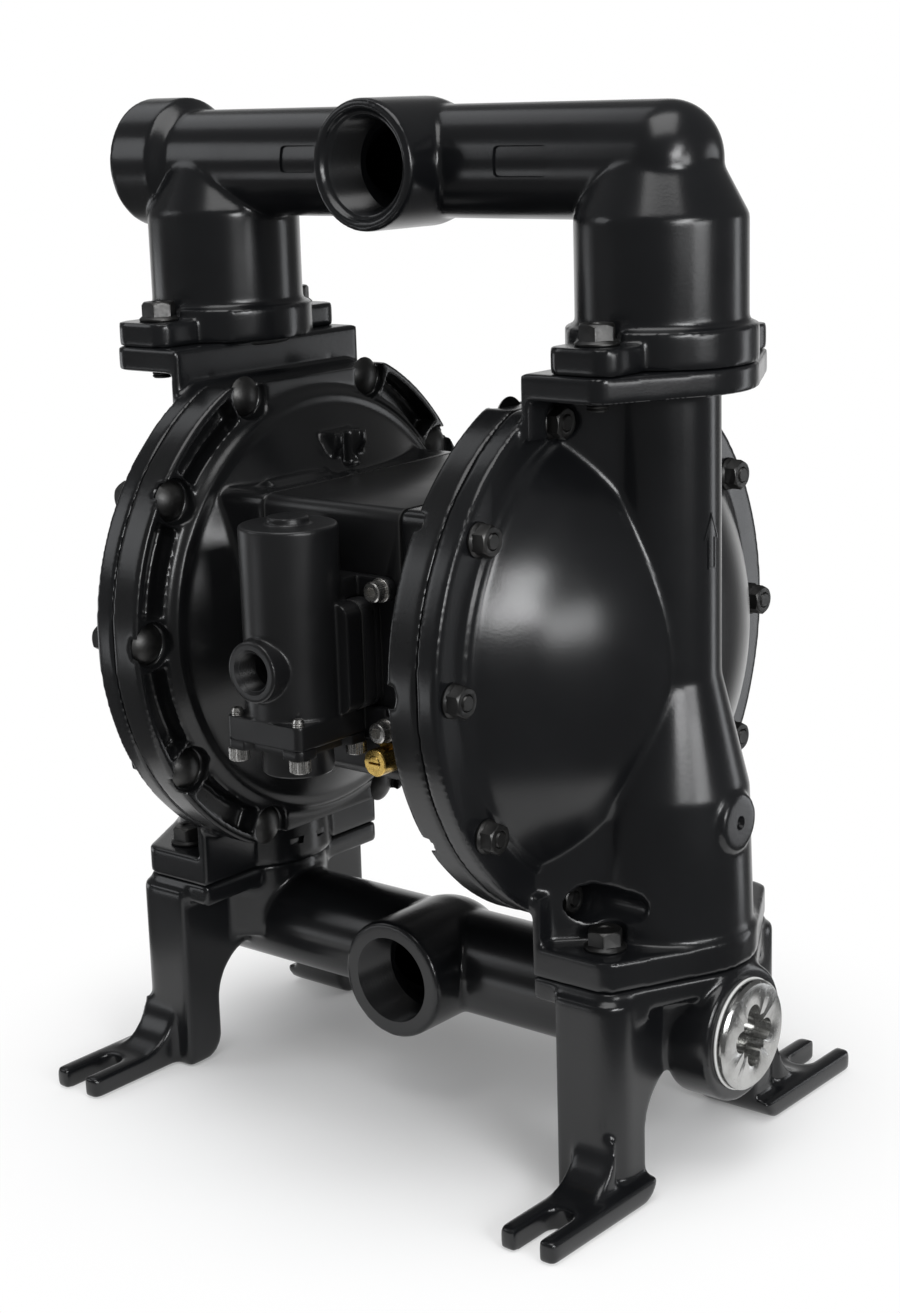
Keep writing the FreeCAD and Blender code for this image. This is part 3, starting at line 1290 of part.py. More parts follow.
def air_valve():
    """The air valve: upright barrel with the spool bore, flange, ears and the air inlet boss."""
    name = "valve_body"
    barrel = cylinder(name + "_barrel", "valve_r", "valve_top_z - valve_low_z", ("0", "-valve_y", "valve_low_z"))
    cap = cylinder(name + "_top_disc", "knob_r", "knob_t + 1", ("0", "-valve_y", "valve_top_z - 1"))
    square = box(
        name + "_square",
        ("-valve_square", "-valve_y - valve_square", "valve_low_z"),
        ("valve_square", "-valve_y + valve_square", "valve_low_z + valve_flange_t"),
    )
    square = rounded(name + "_square_soft", square, "square_corner_r", upright)
    chest = box(
        name + "_chest", ("-chest_half", "-valve_y", "valve_low_z"),
        ("chest_half", f"-valve_back_y", "mount_screw_top_z + mount_ear_r"),
    )
    flange = box(
        name + "_flange", ("-layer_half_x", f"-valve_back_y - valve_foot_t", "layer_low_z"),
        ("layer_half_x", f"-valve_back_y", "layer_top_z"),
    )
    flange = rounded(name + "_flange_soft", flange, "layer_corner_r", along_y)
    solids = [barrel, cap, square, chest, flange]
    for i, (x, z) in enumerate(mount_screw_spots()):
        inward = "chest_half - 2" if "-" not in x else "-chest_half + 2"
        low_x, high_x = (inward, x) if "-" not in x else (x, inward)
        up = "layer_top_z + 0.3" if "top" in z else f"{z} - mount_ear_r"
        down = f"{z} + mount_ear_r" if "top" in z else "layer_low_z - 0.3"
        solids += [
            cylinder(f"{name}_ear_{i}", "mount_ear_r", "mount_ear_t", (x, "-body_half_y - 0.3", z), "-Y"),
            box(
                f"{name}_arm_{i}",
                (low_x, "-body_half_y - 0.3 - mount_ear_t", up), (high_x, "-body_half_y - 0.3", down),
            ),
        ]
        chest_y = "-body_half_y - 0.3"
        solids.append(
            box(
                f"{name}_heel_{i}",
                ("-chest_half", f"-valve_back_y - 1", up if "top" in z else "valve_low_z"), ("chest_half", chest_y, down),
            ),
        )
    boss = cylinder(name + "_boss", "inlet_air_r", "inlet_air_face_y - valve_y", ("0", "-valve_y", "inlet_air_z"), "-Y")
    outside = fuse(name + "_outside", solids + [boss])
    bore = cylinder(
        name + "_bore", "valve_bore_r", "valve_top_z - valve_roof_t - valve_low_z + 1", ("0", "-valve_y", "valve_low_z - 1"),
    )
    inlet = cylinder(
        name + "_inlet", "inlet_air_bore_r", "inlet_air_depth + 1", ("0", "-inlet_air_face_y - 1", "inlet_air_z"), "Y",
    )
    inlet_way = cylinder(
        name + "_inlet_way", "inlet_air_way_r", "inlet_air_face_y - valve_y", ("0", "-inlet_air_face_y", "inlet_air_z"), "Y",
    )
    mouth = cone(
        name + "_mouth", "inlet_air_bore_r + 2", "inlet_air_bore_r", "2", ("0", "-inlet_air_face_y", "inlet_air_z"), "Y",
    )
    window = box(
        name + "_window", ("-slide_half_x - 0.5", "-valve_y", "slide_low_z - 2"),
        ("slide_half_x + 0.5", f"-valve_back_y + 1", "slide_low_z + slide_len + spool_stroke + 2"),
    )
    ears = [
        cylinder(f"{name}_ear_hole_{i}", "screw_r + hole_play", "mount_ear_t + 2", (x, "-body_half_y + 0.7", z), "-Y")
        for i, (x, z) in enumerate(mount_screw_spots())
    ]
    screws = [
        cylinder(f"{name}_cap_hole_{i}", "screw_r + hole_play", "valve_flange_t + 2", (x, y, "valve_low_z - 1"))
        for i, (x, y) in enumerate(cap_screw_spots())
    ]
    behind = box(
        name + "_behind", ("-layer_half_x - 1", f"-valve_back_y", "layer_low_z - 0.3"),
        ("layer_half_x + 1", "-body_half_y + 1", "layer_top_z + 0.3"),
    )
    node(cut(name, outside, [bore, inlet, inlet_way, mouth, window, behind] + ears + screws), name)


def cap_screw_spots():
    """Places of the four screws that hold the cap under the air valve."""
    for x in ("-valve_screw_at", "valve_screw_at"):
        for y in ("-valve_y - valve_screw_at", "-valve_y + valve_screw_at"):
            yield x, y


def valve_end_cap():
    """The cap that closes the bore of the air valve from below."""
    name = "valve_end_cap"
    plate = box(
        name + "_plate",
        ("-valve_square", "-valve_y - valve_square", "valve_low_z - end_cap_t"),
        ("valve_square", "-valve_y + valve_square", "valve_low_z"),
    )
    plate = rounded(name + "_soft", plate, "square_corner_r", upright)
    drum = cylinder(name + "_drum", "end_cap_r", "valve_low_z - end_cap_low_z - 1", ("0", "-valve_y", "end_cap_low_z"))
    spigot = cylinder(name + "_spigot", "valve_bore_r - 0.1", "spigot_t + 1", ("0", "-valve_y", "valve_low_z - 1"))
    holes = [
        cylinder(f"{name}_hole_{i}", "screw_r + hole_play", "end_cap_t + 2", (x, y, "valve_low_z - end_cap_t - 1"))
        for i, (x, y) in enumerate(cap_screw_spots())
    ]
    node(cut(name, fuse(name + "_outside", [plate, drum, spigot]), holes), name)


def valve_spool():
    """The spool that shifts up and down, its seal rings, and the slide that it carries."""
    low = "(valve_low_z + spigot_t + 0.3)"
    waist_low = f"(slide_low_z - {low} - 0.3)"
    waist_high = f"(slide_low_z + slide_len - {low} + 0.3)"
    points = [("0", "0"), ("0", "spool_r")]
    rings = []
    for level in ("4", "12", f"{waist_high} + 8", "spool_len - 4"):
        points += [
            (f"{level} - 1.3", "spool_r"), (f"{level} - 1.3", "spool_r - 2.5"),
            (f"{level} + 1.3", "spool_r - 2.5"), (f"{level} + 1.3", "spool_r"),
        ]
        rings.append(level)
        if level == "12":
            points += [
                (waist_low, "spool_r"), (waist_low, "spool_waist_r"), (waist_high, "spool_waist_r"), (waist_high, "spool_r"),
            ]
    points += [("spool_len", "spool_r"), ("spool_len", "0")]
    node(turned("valve_spool", points, ("0", "-valve_y", low), "Z"), "valve_spool")
    doc.recompute()
    one = torus("spool_ring", "spool_r - 1.25", "1.15", ("0", "0", "0"))
    doc.recompute()
    start = value("valve_low_z") + value("spigot_t") + 0.3
    top = value("slide_low_z") + value("slide_len") - start + 0.3 + 8
    heights = (4, 12, top, value("spool_len") - 4)
    node(group("spool_seals", one, [at_point(0, -value("valve_y"), start + h) for h in heights]), "spool_seals")
    slide = box(
        "valve_slide",
        ("-slide_half_x", "-valve_y + spool_waist_r + 0.3", "slide_low_z"),
        ("slide_half_x", f"-valve_back_y - 0.1", "slide_low_z + slide_len"),
    )
    node(slide, "valve_slide")


SLITS = 12


def muffler():
    """The exhaust silencer at the back: neck, ribbed body and rounded end."""
    points = [
        ("body_half_y - neck_in", "0"), ("body_half_y - neck_in", "muffler_neck_r"), ("body_half_y + 4", "muffler_neck_r"),
        ("body_half_y + 6", "muffler_r"), ("muffler_end_y - 6", "muffler_r"), ("muffler_end_y - 1.5", "muffler_r - 4"),
        ("muffler_end_y", "muffler_r - 9"), ("muffler_end_y", "0"),
    ]
    body = turned("muffler_body", points, ("0", "0", "muffler_z"), "Y")
    slits = []
    for i in range(SLITS):
        turn = 360.0 / SLITS * i
        bar = cylinder(
            f"muffler_slit_{i}", "slit_r", "muffler_end_y - body_half_y - 2 * slit_margin",
            (
                f"(muffler_r + slit_r - slit_depth) * cos({turn} deg)", "body_half_y + slit_margin",
                f"muffler_z + (muffler_r + slit_r - slit_depth) * sin({turn} deg)",
            ),
            "Y",
        )
        slits.append(bar)
    node(cut("muffler", body, slits), "muffler")


# Fasteners

def hexagon(name, across_corners, length, at, axis="Z"):
    """A six sided bar."""
    item = doc.addObject("Part::Prism", name)
    item.Polygon = 6
    bind(item, Circumradius=across_corners, Height=length)
    return place(item, at, axis)


def domed_bolt():
    """A rim bolt with a low domed head; its seat is at its origin and it points along Z."""
    ball = "((clamp_head_r ^ 2 + clamp_head_t ^ 2) / (2 * clamp_head_t))"
    head = doc.addObject("Part::Sphere", "clamp_head")
    bind(head, Radius=ball, Angle1=f"asin(({ball} - clamp_head_t) / {ball})")
    place(head, ("0", "0", f"{ball} - clamp_head_t"), "-Z")
    shank = cylinder("clamp_shank", "clamp_r", "clamp_tip_x - clamp_seat_x", ("0", "0", "0"))
    return fuse("clamp_bolt", [head, shank])


def flange_nut():
    """A hexagon nut with its flange; it sits on its origin."""
    skirt = cylinder("nut_skirt", "nut_flange_r", "nut_flange_t", ("0", "0", "0"))
    body = hexagon("nut_body", "nut_corner_r", "nut_t", ("0", "0", "0"))
    bore = cylinder("nut_bore", "clamp_r + 0.1", "nut_t + 2", ("0", "0", "-1"))
    return cut("clamp_nut", fuse("nut_outside", [skirt, body]), [bore])


def flange_bolt(length):
    """A hexagon bolt with its flange; its seat is at its origin and it points down."""
    name = "ear_bolt_" + length
    skirt = cylinder(name + "_skirt", "ear_bolt_flange_r", "ear_bolt_flange_t", ("0", "0", "0"))
    head = hexagon(name + "_head", "ear_bolt_corner_r", "ear_bolt_head_t", ("0", "0", "0"))
    shank = cylinder(name + "_shank", "ear_bolt_r", length, ("0", "0", "0"), "-Z")
    return fuse(name, [skirt, head, shank])


def socket_screw(name, radius, length, head_r, head_t, key_r):
    """A socket head screw; its seat is at its origin and it points down."""
    head = cylinder(name + "_head", head_r, head_t, ("0", "0", "0"))
    key = hexagon(name + "_key", key_r, head_t, ("0", "0", f"{head_t} * 0.5"))
    shank = cylinder(name + "_shank", radius, length, ("0", "0", "0"), "-Z")
    return cut(name, fuse(name + "_outside", [head, shank]), [key])


def fasteners():
    """Every screw, bolt, nut and washer, grouped by the joint that it closes."""
    bolt = domed_bolt()
    nut = flange_nut()
    for side in SIDES:
        axis, sign = ("X", 1) if side == "right" else ("-X", -1)
        bolts = [at_point(sign * value("clamp_seat_x"), y, z, axis) for _, y, z in clamp_spots()]
        node(group("clamp_bolts_" + side, bolt, bolts), "clamp_bolts_" + side)
        nuts = [at_point(sign * value("cap_flange_x"), y, z, axis) for _, y, z in clamp_spots()]
        node(group("clamp_nuts_" + side, nut, nuts), "clamp_nuts_" + side)
    ears = [(x * value("riser_x"), y * value("ear_bolt_y")) for x in (1, -1) for y in (1, -1)]
    top = flange_bolt("top_bolt_len")
    node(group("outlet_flange_bolts", top, [at_point(x, y, value("ear_top_z")) for x, y in ears]), "outlet_flange_bolts")
    low = flange_bolt("low_bolt_len")
    seat = value("joint_low_z") + value("cap_foot_t")
    node(group("inlet_flange_bolts", low, [at_point(x, y, seat) for x, y in ears]), "inlet_flange_bolts")
    hub = socket_screw("hub_screw", "hub_screw_r", "hub_screw_len + dish_wall", "hub_screw_r + 2.5", "hub_screw_r * 2", "3.4")
    spots = []
    for side, axis, sign in (("right", "X", 1), ("left", "-X", -1)):
        for i in range(6):
            turn = math.radians(30 + 60 * i)
            ring = value("hub_screw_circle_r")
            y, z = ring * math.cos(turn), value("chamber_z") + ring * math.sin(turn)
            spots.append(at_point(sign * (value("hub_x") + value("dish_wall")), y, z, axis))
    node(group("air_cap_screws", hub, spots), "air_cap_screws")
    small = socket_screw(
        "valve_screw", "screw_r", "mount_screw_len + mount_ear_t + washer_t - 2",
        "screw_head_r", "screw_head_t", "screw_key_r",
    )
    washer = cut(
        "valve_washer",
        cylinder("washer_disc", "washer_r", "washer_t", ("0", "0", "0")),
        [cylinder("washer_hole", "screw_r + 0.2", "washer_t + 2", ("0", "0", "-1"))],
    )
    face = value("body_half_y") + 0.3 + value("mount_ear_t")
    places = [
        (sx * value("mount_screw_x"), z) for sx in (-1, 1) for z in (value("mount_screw_low_z"), value("mount_screw_top_z"))
    ]
    node(
        group("valve_screws", small, [at_point(x, -face - value("washer_t"), z, "-Y") for x, z in places]), "valve_screws",
    )
    node(group("valve_washers", washer, [at_point(x, -face, z, "-Y") for x, z in places]), "valve_washers")
    cap_screw = socket_screw("cap_screw", "screw_r", "cap_screw_len", "screw_head_r", "screw_head_t", "screw_key_r")
    short = socket_screw("cap_screw_short", "screw_r", "cap_screw_short_len", "screw_head_r", "screw_head_t", "screw_key_r")
    reach = value("valve_screw_at")
    under = value("valve_low_z") - value("end_cap_t")
    doc.recompute()
    pairs = [
        group(f"cap_screws_{label}", one, [at_point(sx * reach, -value("valve_y") + sy * reach, under, "-Z") for sx in (-1, 1)])
        for label, one, sy in (("front", cap_screw, -1), ("back", short, 1))
    ]
    both = doc.addObject("Part::Feature", "end_cap_screws")
    both.Shape = Part.makeCompound([solid for pair in pairs for solid in pair.Shape.Solids])
    node(both, "end_cap_screws")


def ground_lug():
    """The earthing clamp under the front of the centre body."""
    barrel = cylinder(
        "lug_barrel", "lug_clamp_r", "lug_clamp_len", ("lug_clamp_x", "-body_half_y - 0.3", "lug_clamp_z"), "-Y",
    )
    tab = box(
        "lug_tab",
        ("lug_clamp_x - 4", "-body_half_y - 0.3 - lug_tab_t", "lug_clamp_z"),
        ("lug_clamp_x + 4", "-body_half_y - 0.3", "mount_screw_low_z - mount_ear_r - 0.5"),
    )
    hole = cylinder(
        "lug_hole", "lug_screw_r + 0.1", "lug_clamp_len + 2",
        ("lug_clamp_x", "-body_half_y + 0.7", "lug_clamp_z"), "-Y",
    )
    node(cut("ground_lug", fuse("lug_outside", [barrel, tab]), [hole]), "ground_lug")
    slot = box(
        "lug_screw_slot",
        ("lug_clamp_x - 6", "-body_half_y - lug_clamp_len - 1.5", "lug_clamp_z - 0.6"),
        ("lug_clamp_x + 6", "-body_half_y - lug_clamp_len + 1", "lug_clamp_z + 0.6"),
    )
    screw = cylinder(
        "lug_screw_bar", "lug_screw_r", "lug_clamp_len + 0.5", ("lug_clamp_x", "-body_half_y - 0.3", "lug_clamp_z"), "-Y",
    )
    node(cut("ground_screw", screw, [slot]), "ground_screw")


for side in SIDES:
    fluid_cap(side)
    air_cap(side)
    hub_gasket(side)
    for level, joint in (("inlet", "joint_low_z"), ("outlet", "joint_high_z")):
        valve_seat(f"{level}_seat_{side}", side, joint)
        check_ball(f"{level}_ball_{side}", side, joint)
seat_seals("inlet", "joint_low_z")
seat_seals("outlet", "joint_high_z")
centre_body()
outlet_manifold()
inlet_manifold()
headed_plug()
flush_plug()
rod_set()
pilot_set()
layer("valve_gasket_inner", "body_half_y", "valve_gasket_t")
layer("valve_plate", "body_half_y + valve_gasket_t", "valve_plate_t")
layer("valve_spacer", "body_half_y + valve_gasket_t + valve_plate_t", "valve_spacer_t")
layer("valve_gasket_outer", "body_half_y + valve_gasket_t + valve_plate_t + valve_spacer_t", "valve_gasket_t")
air_valve()
valve_end_cap()
valve_spool()
muffler()
ground_lug()
fasteners()

doc.recompute()
failed = [item.Name for item in doc.Objects if {"Invalid", "Error"} & set(item.State)]
if failed:
    raise SystemExit(f"failed: {failed}")
os.makedirs("parts", exist_ok=True)
for item in NODES:
    shape = item.Shape
    if shape.isNull() or not shape.isValid():
        raise SystemExit(f"{item.Label} has no valid shape")
    print(item.Label, len(shape.Solids), round(shape.Volume / 1000, 2), "cm3", len(shape.Faces), "faces")
    shape.exportStep(f"parts/{item.Label}.step")
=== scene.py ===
import json
import math

import bmesh
import bpy
import numpy as np
from mathutils import Matrix, Vector


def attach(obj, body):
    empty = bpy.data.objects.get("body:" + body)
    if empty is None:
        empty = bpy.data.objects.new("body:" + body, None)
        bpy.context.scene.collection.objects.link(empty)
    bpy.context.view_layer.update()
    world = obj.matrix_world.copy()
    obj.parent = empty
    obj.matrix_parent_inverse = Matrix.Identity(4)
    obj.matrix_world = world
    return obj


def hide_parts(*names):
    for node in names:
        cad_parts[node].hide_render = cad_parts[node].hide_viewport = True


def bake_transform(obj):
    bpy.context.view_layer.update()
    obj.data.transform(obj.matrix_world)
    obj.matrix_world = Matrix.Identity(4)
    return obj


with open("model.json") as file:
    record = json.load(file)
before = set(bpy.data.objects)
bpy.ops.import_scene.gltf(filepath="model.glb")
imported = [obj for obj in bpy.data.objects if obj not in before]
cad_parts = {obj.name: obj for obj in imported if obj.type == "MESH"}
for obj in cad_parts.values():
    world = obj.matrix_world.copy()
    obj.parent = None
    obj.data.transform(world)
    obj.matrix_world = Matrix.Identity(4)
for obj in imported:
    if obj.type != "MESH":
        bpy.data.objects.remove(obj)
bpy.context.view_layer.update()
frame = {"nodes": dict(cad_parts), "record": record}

# Sizes in millimetres, the same as the model's
RISER_X = 136.5
CHAMBER_Z = 249.0
JOINT_LOW = 104.5
JOINT_HIGH = 385.0
INLET_Z = 70.0
OUTLET_Z = 473.5
RIM_R = 132.1
RIM_FLAT = 118.0
SPLIT_X = 96.1
CAP_FACE_X = 107.7
CLAMP_RING = 120.8
CLAMP_ANGLES = [base + step * 34.0 for base in (180.0, 0.0) for step in (-2, -1, 0, 1, 2)]
BODY_HALF_Y = 77.0
VALVE_Y = -106.0
EAR_Y = 50.0
PIPE_R = 26.7
TUBE_R = 26.5
BORE_R = 20.5
SEAT_POCKET_R = 37.6
THREAD_R = 22.1
THREAD_DEPTH = 1.2
THREAD_PITCH = 2.31
AIR_WAY_Z = (236.75, 251.75, 266.75)

# Voxels of the castings' skins, in metres
COARSE = 0.00115
FINE = 0.0007


# Mesh building: a solid is a pair of a vertex array and a list of faces, in millimetres

AXES = {
    "Z": Matrix.Identity(3),
    "X": Matrix(((0, 0, 1), (0, 1, 0), (-1, 0, 0))),
    "Y": Matrix(((1, 0, 0), (0, 0, 1), (0, -1, 0))),
    "-Z": Matrix(((1, 0, 0), (0, -1, 0), (0, 0, -1))),
    "-X": Matrix(((0, 0, -1), (0, 1, 0), (1, 0, 0))),
    "-Y": Matrix(((1, 0, 0), (0, 0, -1), (0, 1, 0))),
}


def lathe(profile, at=(0, 0, 0), axis="Z", segments=96):
    """A turned solid from pairs of (distance along the axis, radius)."""
    angles = np.linspace(0, 2 * math.pi, segments, endpoint=False)
    circle = np.stack([np.cos(angles), np.sin(angles)], 1)
    rings, verts = [], []
    for along, radius in profile:
        if radius < 1e-9:
            rings.append([len(verts)])
            verts.append((0.0, 0.0, along))
        else:
            rings.append(list(range(len(verts), len(verts) + segments)))
            verts += [(radius * c, radius * s, along) for c, s in circle]
    # A profile that stays off the axis closes on itself
    closed = profile[0][1] > 1e-9
    pairs = list(zip(rings, rings[1:] + ([rings[0]] if closed else [])))
    faces = []
    for low, high in pairs:
        for i in range(segments):
            j = (i + 1) % segments
            if len(low) == 1 and len(high) > 1:
                faces.append((low[0], high[j], high[i]))
            elif len(high) == 1 and len(low) > 1:
                faces.append((low[i], low[j], high[0]))
            elif len(low) > 1:
                faces.append((low[i], low[j], high[j], high[i]))
    turn = np.array(AXES[axis])
    points = np.array(verts) @ turn.T + np.array(at, float)
    return points, faces


def bar(radius, length, at, axis="Z", segments=96):
    """A round bar."""
    return lathe([(0, 0), (0, radius), (length, radius), (length, 0)], at, axis, segments)


def taper(low, high, length, at, axis="Z", segments=96):
    """A tapered bar."""
    return lathe([(0, 0), (0, low), (length, high), (length, 0)], at, axis, segments)


def ball(radius, at, steps=32):
    """A ball."""
    turns = [math.pi * i / steps for i in range(steps + 1)]
    arc = [(-radius * math.cos(turn), radius * math.sin(turn)) for turn in turns]
    arc[0], arc[-1] = (-radius, 0), (radius, 0)
    return lathe(arc, at, "Z", 2 * steps)


def prism(outline, low, high, plane="XY"):
    """A plate with an outline in a plane, between two heights along the plane's normal."""
    n = len(outline)
    flat = np.array(outline, float)
    order = {"XY": (0, 1, 2), "XZ": (0, 2, 1), "YZ": (1, 2, 0)}[plane]
    points = np.zeros((2 * n, 3))
    for k, level in enumerate((low, high)):
        points[k * n:(k + 1) * n, order[0]] = flat[:, 0]
        points[k * n:(k + 1) * n, order[1]] = flat[:, 1]
        points[k * n:(k + 1) * n, order[2]] = level
    faces = [tuple(range(n))[::-1], tuple(range(n, 2 * n))]
    faces += [(i, (i + 1) % n, n + (i + 1) % n, n + i) for i in range(n)]
    return points, faces


def block(low, high):
    """A block between two corners."""
    return prism(rectangle(low[0], low[1], high[0], high[1]), low[2], high[2])


def rounded_outline(points, radii, steps=8):
    """A closed outline whose corners are arcs, with one radius for all corners or one for each."""
    if not hasattr(radii, "__len__"):
        radii = [radii] * len(points)
    out = []
    count = len(points)
    for i, radius in enumerate(radii):
        corner, before, after = (Vector(points[(i + k) % count]) for k in (0, -1, 1))
        if radius < 1e-6:
            out.append(tuple(corner))
            continue
        a, b = (before - corner).normalized(), (after - corner).normalized()
        half = math.acos(max(-1.0, min(1.0, a.dot(b)))) / 2
        reach = radius / math.tan(half)
        centre = corner + (a + b).normalized() * radius / math.sin(half)
        start, end = corner + a * reach - centre, corner + b * reach - centre
        sweep = math.pi - 2 * half
        side = 1 if start.x * end.y - start.y * end.x > 0 else -1
        for k in range(steps + 1):
            turn = side * sweep * k / steps
            c, s = math.cos(turn), math.sin(turn)
            out.append((centre.x + start.x * c - start.y * s, centre.y + start.x * s + start.y * c))
    return out


def rectangle(a0, b0, a1, b1, radius=0.0, steps=8):
    """A rectangle's outline with round corners."""
    corners = [(a0, b0), (a1, b0), (a1, b1), (a0, b1)]
    return rounded_outline(corners, radius, steps) if radius else corners


def merged(solids):
    """Several solids as one vertex array and face list."""
    points, faces, count = [], [], 0
    for p, f in solids:
        points.append(p)
        faces += [tuple(i + count for i in face) for face in f]
        count += len(p)
    return np.concatenate(points), faces


def to_object(name, solids):
    """A mesh object from solids in millimetres, with its faces pointing outward."""
    points, faces = merged(solids)
    mesh = bpy.data.meshes.new(name)
    mesh.from_pydata((points * 0.001).tolist(), [], faces)
    mesh.validate()
    mesh.update()
    return outward(linked(name, mesh))


def linked(name, data):
    """A new object in the scene."""
    item = bpy.data.objects.new(name, data)
    bpy.context.scene.collection.objects.link(item)
    return item


def outward(item):
    """Point every face of a mesh outward."""
    work = bmesh.new()
    work.from_mesh(item.data)
    bmesh.ops.recalc_face_normals(work, faces=work.faces)
    work.to_mesh(item.data)
    work.free()
    return item


def applied(item):
    """Apply an object's modifiers to its mesh."""
    graph = bpy.context.evaluated_depsgraph_get()
    mesh = bpy.data.meshes.new_from_object(item.evaluated_get(graph))
    old = item.data
    item.modifiers.clear()
    item.data = mesh
    bpy.data.meshes.remove(old)
    return item


def skin(item, voxel, rounds):
    """Fuse a pile of solids to one skin and soften its corners, as in a casting."""
    remesh = item.modifiers.new("skin", "REMESH")
    remesh.mode = "VOXEL"
    remesh.voxel_size = voxel
    if rounds:
        soften = item.modifiers.new("soft", "SMOOTH")
        soften.factor = 0.5
        soften.iterations = rounds
    return applied(item)


def boolean(item, solids, kind="DIFFERENCE"):
    """Cut solids out of a mesh, add them to it, or keep what it shares with them."""
    tool = to_object(item.name + "_tool", solids)
    step = item.modifiers.new("step", "BOOLEAN")
    step.operation = kind
    step.solver = "MANIFOLD"
    step.object = tool
    applied(item)
    bpy.data.objects.remove(tool)
    return item


def carve(item, solids):
    """Cut solids out of a mesh one after another; solids that stay apart may share a list."""
    for solid in solids:
        boolean(item, [solid] if isinstance(solid, tuple) else solid)
    return item


def casting(name, solids, hollows=(), cuts=(), voxel=COARSE, rounds=7):
    """A casting: fused solids, hollows with soft edges, then machined faces and bores with crisp ones."""
    item = skin(to_object(name, solids), voxel, 0 if hollows else rounds)
    if hollows:
        skin(carve(item, hollows), voxel, rounds)
    return carve(item, cuts)


def machined(name, solids, cuts=(), bevel=0.4, degrees=35):
    """A machined piece: united solids less the cuts, with its edges broken."""
    item = to_object(name, solids[:1])
    for solid in solids[1:]:
        boolean(item, [solid], "UNION")
    carve(item, cuts)
    return broken(item, bevel, degrees)


def broken(item, bevel, degrees):
    """Break the edges of a mesh that are sharper than an angle."""
    step = item.modifiers.new("edges", "BEVEL")
    step.width = bevel * 0.001
    step.segments = 2
    step.limit_method = "ANGLE"
    step.angle_limit = math.radians(degrees)
    return applied(item)


def solid_of(item):
    """Take an object's mesh back as a solid in millimetres."""
    points = np.array([tuple(vertex.co) for vertex in item.data.vertices]) * 1000
    faces = [tuple(face.vertices) for face in item.data.polygons]
    bpy.data.objects.remove(item)
    return points, faces


def moved(solid, at, axis="Z"):
    """A solid that was drawn along Z at the origin, at its own place."""
    points, faces = solid
    return points @ np.array(AXES[axis]).T + np.array(at, float), faces


def spun(solid):
    """A solid turned half round the upright axis, from the right to the left."""
    points, faces = solid
    return points * np.array((-1, -1, 1)), faces


def smooth(item, degrees=32):
    """Shade smooth, with edges sharper than an angle left crisp."""
    mesh = item.data
    mesh.shade_smooth()
    mesh.set_sharp_from_angle(angle=math.radians(degrees))
    return item


def copy_turned(item, name):
    """The left hand copy of a right hand piece: the same mesh turned half round the upright axis."""
    mesh = item.data.copy()
    mesh.transform(Matrix.Rotation(math.pi, 4, "Z"))
    return linked(name, mesh)


def finish_piece(item, material, slot, body, *nodes):
    """Give a piece its material and body, and let it stand for its CAD nodes."""
    item.data.materials.clear()
    item.data.materials.append(material)
    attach(item, body)
    if nodes:
        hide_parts(*nodes)
    return item


# Materials

FINISH = {}


def new_material(name, colour, metallic, roughness, coat=0.0):
    """A principled material with its constants on its own sockets."""
    material = bpy.data.materials.new(name)
    material.use_nodes = True
    shader = material.node_tree.nodes["Principled BSDF"]
    shader.inputs["Base Color"].default_value = (*colour, 1)
    shader.inputs["Metallic"].default_value = metallic
    shader.inputs["Roughness"].default_value = roughness
    shader.inputs["Coat Weight"].default_value = coat
    shader.inputs["Coat Roughness"].default_value = 0.08
    return material, shader


def noise(material, scale, detail=3.0):
    """Noise in the object's own coordinates."""
    nodes, links = material.node_tree.nodes, material.node_tree.links
    place = nodes.new("ShaderNodeTexCoord")
    texture = nodes.new("ShaderNodeTexNoise")
    texture.inputs["Scale"].default_value = scale
    texture.inputs["Detail"].default_value = detail
    links.new(place.outputs["Object"], texture.inputs["Vector"])
    return texture.outputs["Fac"]


def spread(material, source, low, high, socket):
    """Map noise to a range and feed it to a socket."""
    nodes, links = material.node_tree.nodes, material.node_tree.links
    span = nodes.new("ShaderNodeMapRange")
    span.inputs["From Min"].default_value = 0.3
    span.inputs["From Max"].default_value = 0.7
    span.inputs["To Min"].default_value = low
    span.inputs["To Max"].default_value = high
    links.new(source, span.inputs["Value"])
    links.new(span.outputs["Result"], socket)
    return span


def bumped(material, shader, source, strength, distance):
    """Bump from a height."""
    nodes, links = material.node_tree.nodes, material.node_tree.links
    bump = nodes.new("ShaderNodeBump")
    bump.inputs["Strength"].default_value = strength
    bump.inputs["Distance"].default_value = distance
    links.new(source, bump.inputs["Height"])
    links.new(bump.outputs["Normal"], shader.inputs["Normal"])
    return bump


def tinted(material, shader, source, dark, light):
    """A base colour that wanders between two shades."""
    nodes, links = material.node_tree.nodes, material.node_tree.links
    ramp = nodes.new("ShaderNodeValToRGB")
    ramp.color_ramp.elements[0].position = 0.35
    ramp.color_ramp.elements[1].position = 0.65
    ramp.color_ramp.elements[0].color = (*dark, 1)
    ramp.color_ramp.elements[1].color = (*light, 1)
    links.new(source, ramp.inputs["Fac"])
    links.new(ramp.outputs["Color"], shader.inputs["Base Color"])


def painted(name, dark, light, rough, peel_scale, peel_depth):
    """Black paint on a casting: a slight wander in shade and gloss, and a fine orange peel."""
    material, shader = new_material(name, light, 0.0, sum(rough) / 2)
    tinted(material, shader, noise(material, 14.0), dark, light)
    spread(material, noise(material, 30.0, 4.0), rough[0], rough[1], shader.inputs["Roughness"])
    bumped(material, shader, noise(material, peel_scale, 2.0), 0.35, peel_depth)
    FINISH[name] = material


